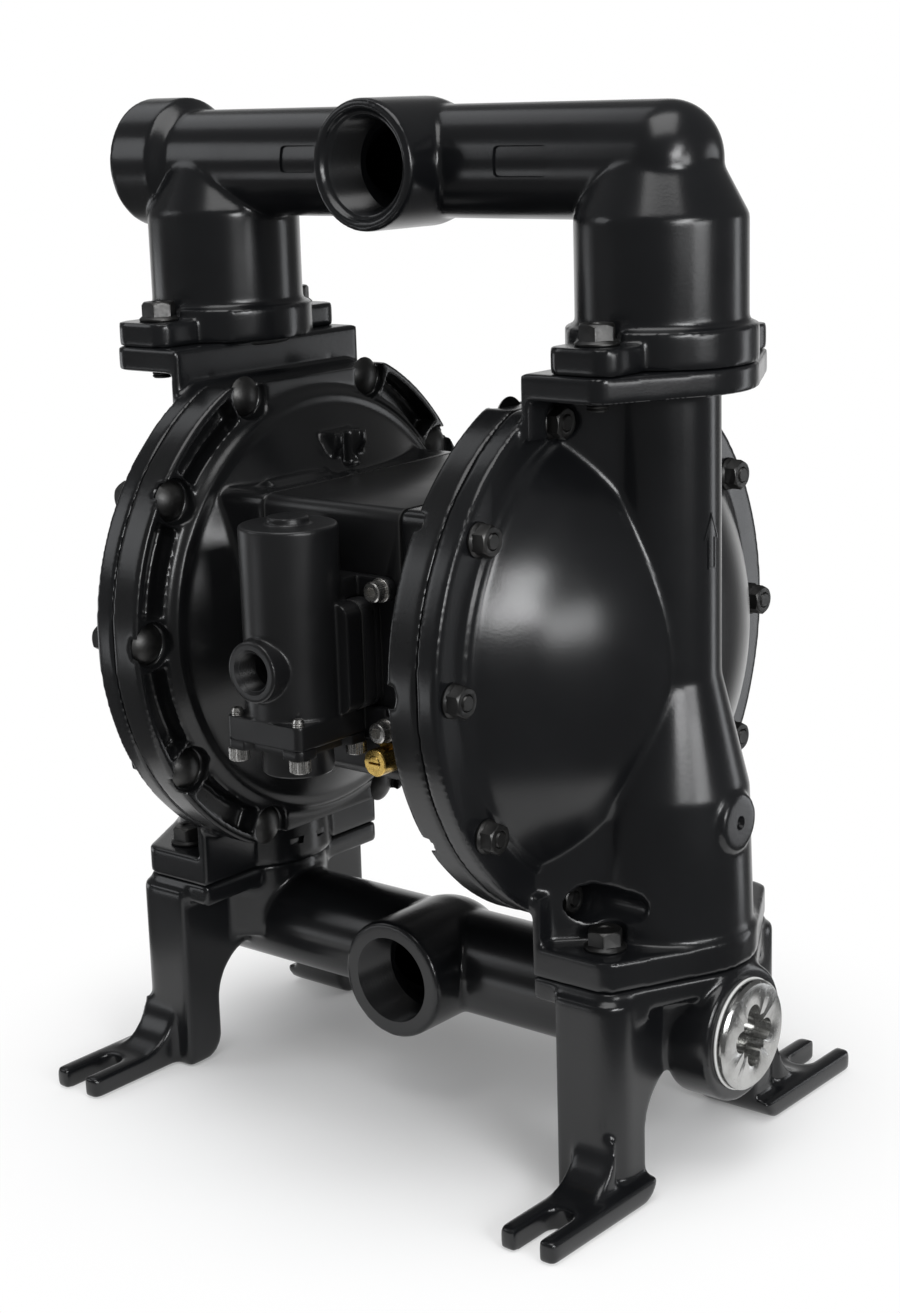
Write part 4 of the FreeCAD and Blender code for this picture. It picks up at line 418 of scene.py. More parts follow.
def metal(name, dark, light, rough, scale, depth):
    """Bare metal with fine tool marks."""
    material, shader = new_material(name, light, 1.0, sum(rough) / 2)
    tinted(material, shader, noise(material, 60.0), dark, light)
    spread(material, noise(material, scale, 3.0), rough[0], rough[1], shader.inputs["Roughness"])
    bumped(material, shader, noise(material, scale, 2.0), 0.25, depth)
    FINISH[name] = material


def soft_surface(name, dark, light, rough, scale, depth):
    """Rubber or plastic with a fine moulded grain."""
    material, shader = new_material(name, light, 0.0, sum(rough) / 2)
    tinted(material, shader, noise(material, 40.0), dark, light)
    spread(material, noise(material, scale / 3), rough[0], rough[1], shader.inputs["Roughness"])
    bumped(material, shader, noise(material, scale), 0.4, depth)
    FINISH[name] = material


painted("cast_gloss_black", (0.0042, 0.0045, 0.0052), (0.0065, 0.0069, 0.0078), (0.2, 0.26), 800.0, 0.00007)
painted("cast_satin_black", (0.0042, 0.0044, 0.0048), (0.0068, 0.007, 0.0076), (0.2, 0.28), 1000.0, 0.00005)
painted("valve_black", (0.005, 0.005, 0.0055), (0.0085, 0.0087, 0.0095), (0.3, 0.38), 1500.0, 0.00004)
painted("plate_black", (0.008, 0.008, 0.009), (0.014, 0.014, 0.015), (0.38, 0.5), 1600.0, 0.00005)
metal("bolt_black", (0.05, 0.05, 0.05), (0.085, 0.084, 0.082), (0.36, 0.48), 700.0, 0.00004)
metal("screw_steel", (0.5, 0.49, 0.47), (0.68, 0.67, 0.65), (0.22, 0.36), 700.0, 0.00002)
metal("plug_steel", (0.36, 0.36, 0.35), (0.5, 0.5, 0.49), (0.16, 0.28), 500.0, 0.00002)
metal("rod_steel", (0.6, 0.6, 0.61), (0.75, 0.75, 0.76), (0.1, 0.18), 500.0, 0.00001)
metal("clamp_plate", (0.5, 0.5, 0.51), (0.62, 0.62, 0.63), (0.28, 0.4), 400.0, 0.00003)
metal("brass", (0.62, 0.4, 0.1), (0.8, 0.56, 0.18), (0.2, 0.32), 600.0, 0.00002)
metal("bronze", (0.4, 0.25, 0.1), (0.52, 0.34, 0.15), (0.3, 0.42), 500.0, 0.00002)
soft_surface("seal_rubber", (0.006, 0.006, 0.006), (0.012, 0.012, 0.012), (0.5, 0.65), 1400.0, 0.00004)
soft_surface("gasket", (0.012, 0.012, 0.012), (0.02, 0.02, 0.02), (0.6, 0.75), 1800.0, 0.00005)
soft_surface("diaphragm_rubber", (0.01, 0.01, 0.01), (0.018, 0.018, 0.018), (0.45, 0.6), 1200.0, 0.00006)
soft_surface("seal_white", (0.62, 0.62, 0.61), (0.74, 0.74, 0.73), (0.4, 0.55), 1500.0, 0.00003)
soft_surface("ball_white", (0.7, 0.69, 0.65), (0.78, 0.77, 0.74), (0.25, 0.35), 900.0, 0.00002)
soft_surface("spool_plastic", (0.12, 0.12, 0.13), (0.18, 0.18, 0.19), (0.35, 0.5), 1200.0, 0.00003)
soft_surface("muffler_plastic", (0.012, 0.012, 0.012), (0.02, 0.02, 0.02), (0.5, 0.65), 1600.0, 0.00008)
metal("seat_steel", (0.5, 0.5, 0.5), (0.62, 0.62, 0.62), (0.24, 0.34), 500.0, 0.00002)
SLOT_OF = {row["node"]: row["material_slot"] for row in frame["record"]["subparts"]}
for node, item in frame["nodes"].items():
    item.data.materials.clear()
    item.data.materials.append(FINISH[SLOT_OF[node]])


# Castings

def threads(radius, depth, length, pitch, at, axis, segments=96):
    """A cutter with the ridges of a pipe thread."""
    profile = [(0, 0)]
    turns = int(length / pitch)
    for i in range(turns):
        profile += [(i * pitch, radius), (i * pitch + pitch * 0.5, radius + depth)]
    profile += [(turns * pitch, radius), (turns * pitch, 0)]
    return lathe(profile, at, axis, segments)


def clamp_spots():
    """Places of the rim bolts in the plane across the rod."""
    for angle in CLAMP_ANGLES:
        turn = math.radians(angle)
        yield CLAMP_RING * math.cos(turn), CHAMBER_Z + CLAMP_RING * math.sin(turn)


def clamp_holes(radius, low, high, segments=48):
    """A bar at every rim bolt."""
    return [bar(radius, high - low, (low, y, z), "X", segments) for y, z in clamp_spots()]


def rim_plate(low, high, radius, flat=RIM_FLAT, steps=180):
    """A round plate about the rod's axis, flat at top and bottom."""
    outline = []
    for i in range(steps):
        turn = 2 * math.pi * i / steps
        outline.append((radius * math.cos(turn), CHAMBER_Z + max(-flat, min(flat, radius * math.sin(turn)))))
    return prism(outline, low, high, "YZ")


def ear_outline():
    """The flange of a fluid cap from above."""
    lean, ring, reach = math.radians(27.7), 43.7, 68.0
    corner = RISER_X + (ring - reach * math.sin(lean)) / math.cos(lean)
    arc = []
    for k in range(-6, 7):
        turn = lean * k / 6
        arc.append((RISER_X + ring * math.cos(turn), ring * math.sin(turn)))
    points = [(107.0, -reach), (corner, -reach)] + arc + [(corner, reach), (107.0, reach)]
    radii = [0, 9.0] + [0] * len(arc) + [9.0, 0]
    return rounded_outline(points, radii)


DOME_R = 111.6
DOME_RISE = 47.8
DOME_BALL = (DOME_R ** 2 + DOME_RISE ** 2) / (2 * DOME_RISE)
DOME_CENTRE = CAP_FACE_X + DOME_RISE - DOME_BALL


def dome(inset, start, steps=60):
    """The chamber cover's sphere, or the hollow under it, from a plane outward."""
    outer = DOME_BALL - inset
    first = math.acos((start - DOME_CENTRE) / outer)
    arc = []
    for i in range(steps + 1):
        turn = first * (1 - i / steps)
        arc.append((DOME_CENTRE + outer * math.cos(turn), outer * math.sin(turn)))
    arc[-1] = (arc[-1][0], 0)
    return lathe([(start, 0)] + arc, (0, 0, CHAMBER_Z), "X", 200)


def neck(narrow_x, wide_y, narrow_y, low, high):
    """The wall from a fluid cap's flange to its pipe."""
    outline = [
        (107.0, -wide_y), (narrow_x, -narrow_y), (RISER_X, -narrow_y),
        (RISER_X, narrow_y), (narrow_x, narrow_y), (107.0, wide_y),
    ]
    return prism(outline, low, high)


def arrow_ridges():
    """The outlined arrow up the outside of the riser pipe, as raised lines."""
    ring, half = PIPE_R, 0.35
    outline = [
        (-2.4, 292.5), (2.4, 292.5), (2.4, 306.0), (5.0, 306.0),
        (0.0, 317.5), (-5.0, 306.0), (-2.4, 306.0),
    ]
    shift = -0.6
    ridges = []
    for (a0, z0), (a1, z1) in zip(outline, outline[1:] + outline[:1]):
        long = math.hypot(a1 - a0, z1 - z0)
        across = ((z1 - z0) / long * half, -(a1 - a0) / long * half)
        along = ((a1 - a0) / long * half, (z1 - z0) / long * half)
        corners = [
            (a0 - across[0] - along[0], z0 - across[1] - along[1]),
            (a1 - across[0] + along[0], z1 - across[1] + along[1]),
            (a1 + across[0] + along[0], z1 + across[1] + along[1]),
            (a0 + across[0] - along[0], z0 + across[1] - along[1]),
        ]
        points = []
        for radius in (ring - 0.5, ring + 0.35):
            for a, z in corners:
                turn = (a + shift) / ring
                points.append((RISER_X + radius * math.cos(turn), radius * math.sin(turn), z))
        faces = [(3, 2, 1, 0), (4, 5, 6, 7)] + [(i, (i + 1) % 4, 4 + (i + 1) % 4, 4 + i) for i in range(4)]
        ridges.append((np.array(points), faces))
    return ridges


def broken_edge(x, toward, radius=RIM_R, size=0.9):
    """The cutter that breaks a rim's round edge at a plane; the rim lies to one side of the plane."""
    inner, outer = radius - size, radius + 3
    slope = [(0.0, inner), (size, radius + 0.1), (size, outer), (-1.0, outer), (-1.0, inner)]
    return lathe(slope, (x, 0, CHAMBER_Z), "X" if toward > 0 else "-X", 240)


def fluid_cap():
    """The right fluid cap."""
    sagging = CHAMBER_Z - CLAMP_RING * math.sin(math.radians(68))
    solids = [
        rim_plate(SPLIT_X, CAP_FACE_X, RIM_R),
        bar(DOME_R + 1.4, 3.6, (CAP_FACE_X - 2, 0, CHAMBER_Z), "X", 200),
        dome(0, CAP_FACE_X - 2),
        bar(PIPE_R, JOINT_HIGH - 240, (RISER_X, 0, 240)),
        taper(39.7, PIPE_R, 54, (RISER_X, 0, 186)),
        taper(42.1, 39.7, 186 - JOINT_LOW, (RISER_X, 0, JOINT_LOW)),
        neck(132.5, 43.0, PIPE_R, CHAMBER_Z, JOINT_HIGH),
        neck(133.0, 64.0, 39.7, JOINT_LOW, 186),
        prism(ear_outline(), JOINT_HIGH - 12, JOINT_HIGH),
        prism(ear_outline(), JOINT_LOW, JOINT_LOW + 14.5),
        block((107, -68, CHAMBER_Z + RIM_FLAT - 12), (112, 68, JOINT_HIGH)),
        block((107, -68, JOINT_LOW), (112, 68, CHAMBER_Z - RIM_FLAT + 12)),
        lathe([(0, 0), (0, 14.1), (40.9, 14.1), (41.9, 13.1), (41.9, 0)], (RISER_X, 0, 173.6), "X"),
    ]
    way = CLAMP_RING * math.cos(math.radians(68))
    hollows = [clamp_holes(9.2, CAP_FACE_X + 0.2, CAP_FACE_X + 9.6)]
    for y in (-way, way):
        hollows.append(bar(9.2, 40, (CAP_FACE_X + 0.2, y, sagging), "X", 48))
        hollows.append(ball(9.2, (CAP_FACE_X + 40, y, sagging)))
    hollows.append([bar(10.6, 26, (RISER_X, y, JOINT_LOW + 14.5), "Z", 48) for y in (-EAR_Y, EAR_Y)])
    cuts = [
        dome(6.5, SPLIT_X + 4),
        bar(100.5, 9.0, (SPLIT_X - 1, 0, CHAMBER_Z), "X", 160),
        bar(BORE_R, 160, (RISER_X, 0, 236)),
        taper(33.0, 20.5, 54, (RISER_X, 0, 181)),
        bar(33.0, 86, (RISER_X, 0, 96)),
        bar(SEAT_POCKET_R, 11, (RISER_X, 0, JOINT_LOW - 1)),
        bar(112.0, 3.4, (SPLIT_X - 1, 0, CHAMBER_Z), "X", 128),
        broken_edge(SPLIT_X, 1),
        clamp_holes(4.4, SPLIT_X - 1, CAP_FACE_X + 12, 32),
        lathe([(0, 0), (0, 2.6), (1.6, 3.4), (3.0, 3.6), (3.0, 0)], (176.6, 0, 173.6), "X", 48),
        [bar(5.4, 16, (RISER_X, y, JOINT_LOW - 1), "Z", 32) for y in (-EAR_Y, EAR_Y)],
        [bar(5.4, 14, (RISER_X, y, JOINT_HIGH - 13), "Z", 32) for y in (-EAR_Y, EAR_Y)],
    ]
    cap = casting("fluid_cap_right_cast", solids, hollows, cuts)
    arrow = to_object("arrow", arrow_ridges())
    return joined(cap, arrow)


def joined(item, *others):
    """Carry small raised details into the mesh that they stand on."""
    work = bmesh.new()
    for each in (item, *others):
        work.from_mesh(each.data)
    work.to_mesh(item.data)
    work.free()
    for each in others:
        bpy.data.objects.remove(each)
    return item


def round_tube(sign, far, level):
    """A cross tube whose far end over the riser is round."""
    bend = 22.0
    turns = [math.pi * i / 24 for i in range(13)]
    arc = [(bend - bend * math.cos(turn), TUBE_R - bend + bend * math.sin(turn)) for turn in turns]
    start = RISER_X + TUBE_R
    profile = [(0, 0)] + arc + [(start + far, TUBE_R), (start + far, 0)]
    return lathe(profile, (-sign * start, 0, level), "X" if sign > 0 else "-X", 128)


def end_boss(sign, far, level):
    """The boss at the open end of a cross tube."""
    profile = [(0, 0), (0, 25.5), (8, 33), (far - 151.2, 33), (far - 150, 31.8), (far - 150, 0)]
    return lathe(profile, (sign * 150, 0, level), "X" if sign > 0 else "-X", 128)


def port(level):
    """The middle port with its ball shaped heel."""
    rim = lathe([(0, 0), (0, 30.6), (49.3, 30.6), (50.1, 29.8), (50.1, 0)], (0, 4, level), "-Y", 128)
    return [rim, ball(30.6, (0, 0, level), 48)]


def curved_pad(x0, x1, turn0, turn1, low, high, level, corner=2.0, steps=24):
    """A thin pad with round corners that follows the front of a cross tube."""
    points = []
    for i in range(steps + 1):
        turn = turn0 + (turn1 - turn0) * i / steps
        edge = min(turn - turn0, turn1 - turn) * high
        inset = corner - math.sqrt(corner ** 2 - min(corner, max(0.0, corner - edge)) ** 2)
        for radius, x in ((low, x0 + inset), (low, x1 - inset), (high, x1 - inset), (high, x0 + inset)):
            points.append((x, -radius * math.cos(turn), level + radius * math.sin(turn)))
    faces = [(0, 1, 2, 3), tuple(4 * steps + k for k in (3, 2, 1, 0))]
    ring = ((0, 0), (1, 0), (1, 1), (0, 1))
    for i in range(steps):
        faces += [tuple(4 * (i + s) + (k + t) % 4 for s, t in ring) for k in range(4)]
    return np.array(points), faces


def outlet_manifold():
    """The top casting: cross tube, middle port, two risers with eared flanges."""
    solids = [round_tube(-1, 184.8, OUTLET_Z), end_boss(-1, 185.8, OUTLET_Z)] + port(OUTLET_Z)
    for x in (RISER_X, -RISER_X):
        solids += [
            bar(43.7, 17.2, (x, 0, JOINT_HIGH), "Z", 128),
            bar(39.2, 64.6, (x, 0, JOINT_HIGH), "Z", 128),
            taper(39.2, 25.0, 26.9, (x, 0, 449.6), "Z", 128),
            prism(rectangle(x - 18, -66, x + 18, 66, 9), JOINT_HIGH, 397),
        ]
    hollows = [
        [bar(10.6, 8, (x, y, 397), "Z", 48) for x in (RISER_X, -RISER_X) for y in (-EAR_Y, EAR_Y)],
        lathe([(-1, 0), (-1, 26.6), (3.5, 24.6), (3.5, 0)], (0, -46.1, OUTLET_Z), "Y"),
    ]
    cuts = [
        threads(THREAD_R, THREAD_DEPTH, 26, THREAD_PITCH, (0, -46.2, OUTLET_Z), "Y"),
        bar(BORE_R, RISER_X + 190, (RISER_X, 0, OUTLET_Z), "-X"),
        bar(22.3, 19.0, (-186.8, 0, OUTLET_Z), "X"),
        bar(19.0, 47, (0, -46, OUTLET_Z), "Y"),
        [bar(33.7, 64, (x, 0, 384)) for x in (RISER_X, -RISER_X)],
        [taper(33.7, 18.5, 24, (x, 0, 447.6)) for x in (RISER_X, -RISER_X)],
        [bar(SEAT_POCKET_R, 11, (x, 0, 384)) for x in (RISER_X, -RISER_X)],
        [bar(5.4, 30, (x, y, 380), "Z", 32) for x in (RISER_X, -RISER_X) for y in (-EAR_Y, EAR_Y)],
        [
            curved_pad(-70.0, -46.5, -0.16, 0.34, 25.4, 28.0, OUTLET_Z),
            curved_pad(62.5, 92.5, -0.24, 0.3, 25.4, 28.0, OUTLET_Z),
        ],
    ]
    return casting("outlet_manifold_cast", solids, hollows, cuts)


def side_frame():
    """Rim, riser and legs of the right side of the bottom casting."""
    legs = rounded_outline([(122, -72), (157, -72), (157, 72), (122, 72)], [0, 12, 12, 0])
    solids = [
        prism(ear_outline(), JOINT_LOW - 11.7, JOINT_LOW),
        bar(39.2, JOINT_LOW - 64, (RISER_X, 0, 64), "Z", 128),
        prism(legs, 0, JOINT_LOW - 5),
    ]
    for hand in (-1, 1):
        tip, back = hand * 130.8, hand * 47.5
        foot = rounded_outline([(133.1, back), (133.1, tip), (164.4, tip), (164.4, back)], [0, 3, 3, 0])
        solids.append(prism(foot, 0, 11))
        bend = [(hand * 71, 10.0), (hand * 71, 35.0)]
        turns = np.linspace(0, math.pi / 2, 13)
        bend += [(hand * (96 - 24 * math.cos(turn)), 35 - 24 * math.sin(turn)) for turn in turns]
        solids.append(prism(bend + [(hand * 96, 10.0)], 133.1, 157, "YZ"))
        solids.append(prism([(156.0, hand * 47.5), (160.9, hand * 47.5), (156.6, hand * 55.5)], 86.5, 94.0))
    return solids


def inlet_manifold():
    """The bottom casting: cross tube, middle port, two risers, four legs with slotted feet."""
    solids = [round_tube(1, 179.6, INLET_Z), end_boss(1, 180.6, INLET_Z)] + port(INLET_Z)
    frame_solids = side_frame()
    solids += frame_solids + [spun(solid) for solid in frame_solids]
    arch = rounded_outline(
        [(-80, 0), (-47.5, 0), (-47.5, 58), (47.5, 58), (47.5, 0), (80, 0), (80, -9), (-80, -9)],
        [0, 13, 27, 27, 13, 0, 0, 0],
    )
    arches = [prism(arch, 118, 170, "YZ"), prism(arch, -170, -118, "YZ")]
    slots = []
    for x in (148.75, -148.75):
        for hand in (-1, 1):
            slots.append(bar(6.9, 16, (x, hand * 107, -2), "Z", 48))
            near, far = sorted((hand * 107, hand * 140))
            slots.append(block((x - 6.9, near, -2.5), (x + 6.9, far, 14.5)))
    legs = carve(casting("inlet_legs", solids[4:]), arches)
    shell = joined(legs, to_object("inlet_pipes", solids[:4]))
    skin(shell, COARSE, 0)
    skin(carve(shell, slots), COARSE, 7)
    shell.name = "inlet_manifold_cast"
    cuts = [
        threads(THREAD_R, THREAD_DEPTH, 26, THREAD_PITCH, (0, -46.2, INLET_Z), "Y"),
        bar(BORE_R, RISER_X + 190, (-RISER_X, 0, INLET_Z), "X"),
        bar(22.42, 26, (155.6, 0, INLET_Z), "X"),
        bar(19.0, 47, (0, -46, INLET_Z), "Y"),
        [bar(24.0, 40, (x, 0, INLET_Z)) for x in (RISER_X, -RISER_X)],
        [bar(5.1, 24, (x, y, JOINT_LOW - 22), "Z", 32) for x in (RISER_X, -RISER_X) for y in (-EAR_Y, EAR_Y)],
    ]
    return carve(shell, cuts)


def air_cap():
    """The right air cap, without its pilot bore."""
    centre = (0, 0, CHAMBER_Z)
    profile = rounded_outline(
        [(43, 0), (43, 60), (74, 103), (74.5, 108), (79.2, 112), (79.2, 132.1), (96.1, 132.1), (96.1, 0)],
        [0, 0, 1.5, 2.5, 2.5, 1.5, 1.0, 0], 8,
    )
    dish = to_object("air_cap_right_cast", [lathe(profile, centre, "X", 220)])
    boolean(dish, [block((42, -140, CHAMBER_Z - RIM_FLAT), (97, 140, CHAMBER_Z + RIM_FLAT))], "INTERSECT")
    lug = [(53, 340), (53, 333), (58, 325), (72, 325), (72, 340)]
    solids = [
        prism(rectangle(-BODY_HALF_Y, 188, BODY_HALF_Y, 320, 6), 43, 71, "YZ"),
        prism(lug, -12, 12, "XZ"),
        lathe([(0, 0), (0, 8.0), (0.6, 8.5), (43.4, 8.5), (44, 8.0), (44, 0)], (56, 18, 315), "Y", 64),
        bar(3.4, 34, (60, 26, 317), "Z", 32),
    ]
    joined(dish, to_object("air_cap_details", solids[:3]))
    skin(dish, COARSE, 0)
    pocket = []
    for side_turn in (0.0, 180.0):
        for step in (-2, -1, 0, 1):
            pocket.append(rim_pocket(side_turn + step * 34.0, side_turn + (step + 1) * 34.0))
    hollows = [pocket, clamp_holes(11.4, 77, 84, 64), bar(6.0, 20, (53, 0, 322), "Z", 48)]
    skin(carve(dish, hollows), COARSE, 5)
    cuts = [
        lathe([(50, 0), (50, 58), (77, 92), (91.7, 101), (97.1, 101), (97.1, 0)], centre, "X", 160),
        bar(112.0, 3.4, (93.7, 0, CHAMBER_Z), "X", 160),
        broken_edge(SPLIT_X, -1),
        bar(13.5, 12, (42, 0, CHAMBER_Z), "X", 64),
        bar(17.1, 5.1, (42, 0, CHAMBER_Z), "X", 64),
        clamp_holes(4.4, 78, 98, 32),
        [bar(4.4, 12, (42, y, z), "X", 32) for y, z in hub_screw_spots()],
    ]
    return carve(dish, cuts)


def rim_pocket(start, end, inner=114.2, outer=127.6, steps=20):
    """A curved pocket in the rim between two bolts, with ends that go round the bolts."""
    gap = math.degrees(12.8 / CLAMP_RING)
    first, last = math.radians(start + gap), math.radians(end - gap)
    ring = []
    for i in range(steps + 1):
        turn = first + (last - first) * i / steps
        ring.append((outer, turn))
    for i in range(steps + 1):
        turn = last + (first - last) * i / steps
        ring.append((inner, turn))
    outline = [(r * math.cos(t), CHAMBER_Z + max(-114.0, min(114.0, r * math.sin(t)))) for r, t in ring]
    return prism(outline, 78, 90.5, "YZ")


def hub_screw_spots():
    """Places of the screws between an air cap and the centre body."""
    for i in range(6):
        turn = math.radians(30 + 60 * i)
        yield 46 * math.cos(turn), CHAMBER_Z + 46 * math.sin(turn)


def centre_body():
    """The block between the air caps."""
    half = 42.0
    cuts = [
        bar(13.5, 90, (-45, 0, CHAMBER_Z), "X", 64),
        [bar(16.02, 19, (x, 0, CHAMBER_Z), "X", 64) for x in (-43, 24)],
        bar(8.02, 90, (-45, -22, 283), "X", 48),
        bar(13.1, 33, (0, 78, CHAMBER_Z), "-Y", 64),
        [block((-12, -78, z - 4), (12, -57, z + 4)) for z in AIR_WAY_Z],
        [bar(4.1, 18.5, (x, y, z), "X", 24) for x in (-42.5, 24) for y, z in hub_screw_spots()],
        [bar(3.1, 16.5, (x, -77.5, z), "Y", 24) for x in (-34.5, 34.5) for z in (215.0, 282.5)],
    ]
    block_ = prism(rectangle(-BODY_HALF_Y, 188, BODY_HALF_Y, 320, 6, 12), -half, half, "YZ")
    return machined("centre_body_cast", [block_], cuts, 0.7, 40)


# Air valve

VALVE_SPOTS = [(x, z) for x in (-34.5, 34.5) for z in (215.0, 282.5)]
CAP_SPOTS = [(x, VALVE_Y + y) for x in (-19.5, 19.5) for y in (-19.5, 19.5)]


def valve_body():
    """Upright barrel, flange, arms and air inlet boss."""
    solids = [
        lathe([(0, 0), (0, 23.3), (100.3, 23.3), (101.1, 22.5), (101.1, 0)], (0, VALVE_Y, 213.5), "Z", 128),
        lathe([(0, 0), (0, 10), (4.0, 10), (4.6, 9.4), (4.6, 0)], (0, VALVE_Y, 313.6), "Z", 64),
        prism(rectangle(-23.5, VALVE_Y - 23.5, 23.5, VALVE_Y + 23.5, 3.5), 213.5, 225.0),
        block((-20, VALVE_Y, 213.5), (20, -90.5, 288.3)),
        prism(rectangle(-30, 225.5, 30, 278, 7), -101, -90.5, "XZ"),
        block((-20, -91.5, 278.3), (20, -77.3, 288.3)),
        block((-20, -91.5, 213.5), (20, -77.3, 225.2)),
        lathe([(0, 0), (0, 14.7), (28.3, 14.7), (29, 14.0), (29, 0)], (0, VALVE_Y, 249.6), "-Y", 96),
    ]
    for x, z in VALVE_SPOTS:
        side = 1 if x > 0 else -1
        low, high = (278.3, 288.3) if z > 250 else (209.2, 225.2)
        low_x, high_x = sorted((side * 18, x))
        solids.append(bar(5.8, 4.5, (x, -77.3, z), "-Y", 48))
        solids.append(block((low_x, -81.8, low), (high_x, -77.3, high)))
    cuts = [
        bar(13.0, 93.1, (0, VALVE_Y, 212.5), "Z", 64),
        threads(9.1, 0.8, 14.5, 1.814, (0, -135.2, 249.6), "Y", 64),
        lathe([(-0.5, 0), (-0.5, 11.2), (1.6, 9.3), (1.6, 0)], (0, -135, 249.6), "Y", 64),
        bar(6.5, 29, (0, -135, 249.6), "Y", 48),
        block((-9.5, VALVE_Y, 241), (9.5, -89.5, 276)),
        block((-31, -90.5, 225.2), (31, -76, 278.3)),
        [bar(3.4, 6.5, (x, -76.3, z), "-Y", 24) for x, z in VALVE_SPOTS],
        [bar(3.1, 13.5, (x, y, 212.5), "Z", 24) for x, y in CAP_SPOTS],
    ]
    return casting("valve_body_cast", solids, (), cuts, FINE, 3)


def valve_end_cap():
    """The cap under the barrel, with a lobe round each screw."""
    side = [(-23.5, -23.5), (-12.5, -23.5), (-9.5, -19.5), (9.5, -19.5), (12.5, -23.5)]
    radii = [3.5, 1.5, 1.5, 1.5, 1.5]
    points = []
    for quarter in range(4):
        turn = math.pi / 2 * quarter
        c, s = math.cos(turn), math.sin(turn)
        points += [(x * c - y * s, VALVE_Y + x * s + y * c) for x, y in side]
    solids = [
        prism(rounded_outline(points, radii * 4), 209.0, 213.5),
        lathe([(0, 0), (0, 16.2), (0.8, 17), (16, 17), (16, 0)], (0, VALVE_Y, 196.5), "Z", 96),
        bar(12.9, 5.5, (0, VALVE_Y, 212.5), "Z", 64),
    ]
    cuts = [[bar(3.4, 7, (x, y, 208), "Z", 24) for x, y in CAP_SPOTS]]
    return machined("valve_end_cap_cast", solids, cuts, 0.35)


def valve_layer(name, start, thick):
    """One flat layer behind the air valve."""
    front, back = -start - thick - 1, -start + 1
    slots = [block((-12, front, z - 4), (12, back, z + 4)) for z in AIR_WAY_Z]
    plate = prism(rectangle(-30, 225.5, 30, 278, 7, 12), -start - thick, -start, "XZ")
    return machined(name, [plate], [slots], min(0.35, thick / 4))


# Fasteners

def hexagon(corner, length, bevel):
    """A hexagon bar along Z with the top corners turned off."""
    points = [(corner * math.cos(math.pi / 3 * i), corner * math.sin(math.pi / 3 * i)) for i in range(6)]
    item = to_object("hexagon", [prism(points, 0, length)])
    flat = corner * math.cos(math.pi / 6)
    cone = [(0, 0), (0, corner + 1), (length - bevel, corner), (length, flat - 0.2), (length, 0)]
    return solid_of(boolean(item, [lathe(cone, (0, 0, 0), "Z", 60)], "INTERSECT"))


def threaded(radius, start, end, pitch, depth=0.38):
    """The profile of a screw's threaded end, from one height to another, with a turned-down tip."""
    points = []
    turns = int((end - start - 0.8) / pitch)
    for i in range(turns):
        points += [(start + i * pitch, radius), (start + (i + 0.5) * pitch, radius - depth)]
    return points + [(start + turns * pitch, radius), (end, radius - 0.8), (end, 0)]


def domed_bolt():
    """A rim bolt with a low domed head; its seat is at the origin and it points along Z."""
    ball_r = (10 ** 2 + 4.2 ** 2) / (2 * 4.2)
    first = math.asin(10 / ball_r)
    turns = [first * i / 12 for i in range(13)]
    arc = [(-0.4 - 4.2 + ball_r * (1 - math.cos(turn)), ball_r * math.sin(turn)) for turn in turns]
    return lathe(arc + [(0, 9.8), (0, 4.0)] + threaded(4.0, 20.0, 32.8, 1.25), (0, 0, 0), "Z", 64)


def flange_nut():
    """A hexagon nut on a conical flange."""
    skirt = lathe([(0, 0), (0, 7.7), (0.4, 8), (1.2, 8), (2.2, 6.9), (2.2, 0)], (0, 0, 0), "Z", 64)
    nut = machined("nut", [skirt, hexagon(7.5, 8.4, 1.0)], [bar(4.05, 12, (0, 0, -1), "Z", 32)], 0.15)
    return solid_of(nut)


def flange_bolt(length):
    """A hexagon bolt on a conical flange; it points down."""
    skirt = lathe([(0, 0), (0, 9.6), (0.5, 10), (1.2, 10), (2.4, 8.6), (2.4, 0)], (0, 0, 0), "Z", 64)
    shank = lathe([(0, 0), (0, 5.0)] + threaded(5.0, length * 0.35, length, 1.5, 0.45), (0, 0, 0.2), "-Z", 48)
    dish = lathe([(-1, 0), (-1, 4.0), (0.6, 3.2), (0.6, 0)], (0, 0, 9.5), "-Z", 48)
    bolt = machined("flange_bolt", [skirt, hexagon(8.7, 9.5, 1.4)], [dish], 0.18)
    return merged([solid_of(bolt), shank])


def socket_screw(length):
    """A socket head screw with a knurled head; it points down."""
    teeth = 30
    knurl = []
    for i in range(teeth * 2):
        radius = 5.0 if i % 2 == 0 else 4.78
        turn = math.pi * i / teeth
        knurl.append((radius * math.cos(turn), radius * math.sin(turn)))
    head = to_object("head", [prism(knurl, 0, 6)])
    round_off = lathe([(0, 0), (0, 5.1), (5.3, 5.1), (6.0, 4.3), (6.0, 0)], (0, 0, 0), "Z", 60)
    boolean(head, [round_off], "INTERSECT")
    key = [(2.9 * math.cos(math.pi / 3 * i), 2.9 * math.sin(math.pi / 3 * i)) for i in range(6)]
    boolean(head, [prism(key, 3.0, 7.0)])
    shank = lathe([(0, 0), (0, 3.0)] + threaded(3.0, 1.0, length, 1.0, 0.3), (0, 0, 0.2), "-Z", 32)
    return merged([solid_of(head), shank])


def at_places(name, solid, places):
    """One object with a copy of a solid at every place."""
    return to_object(name, [moved(solid, at, axis) for at, axis in places])


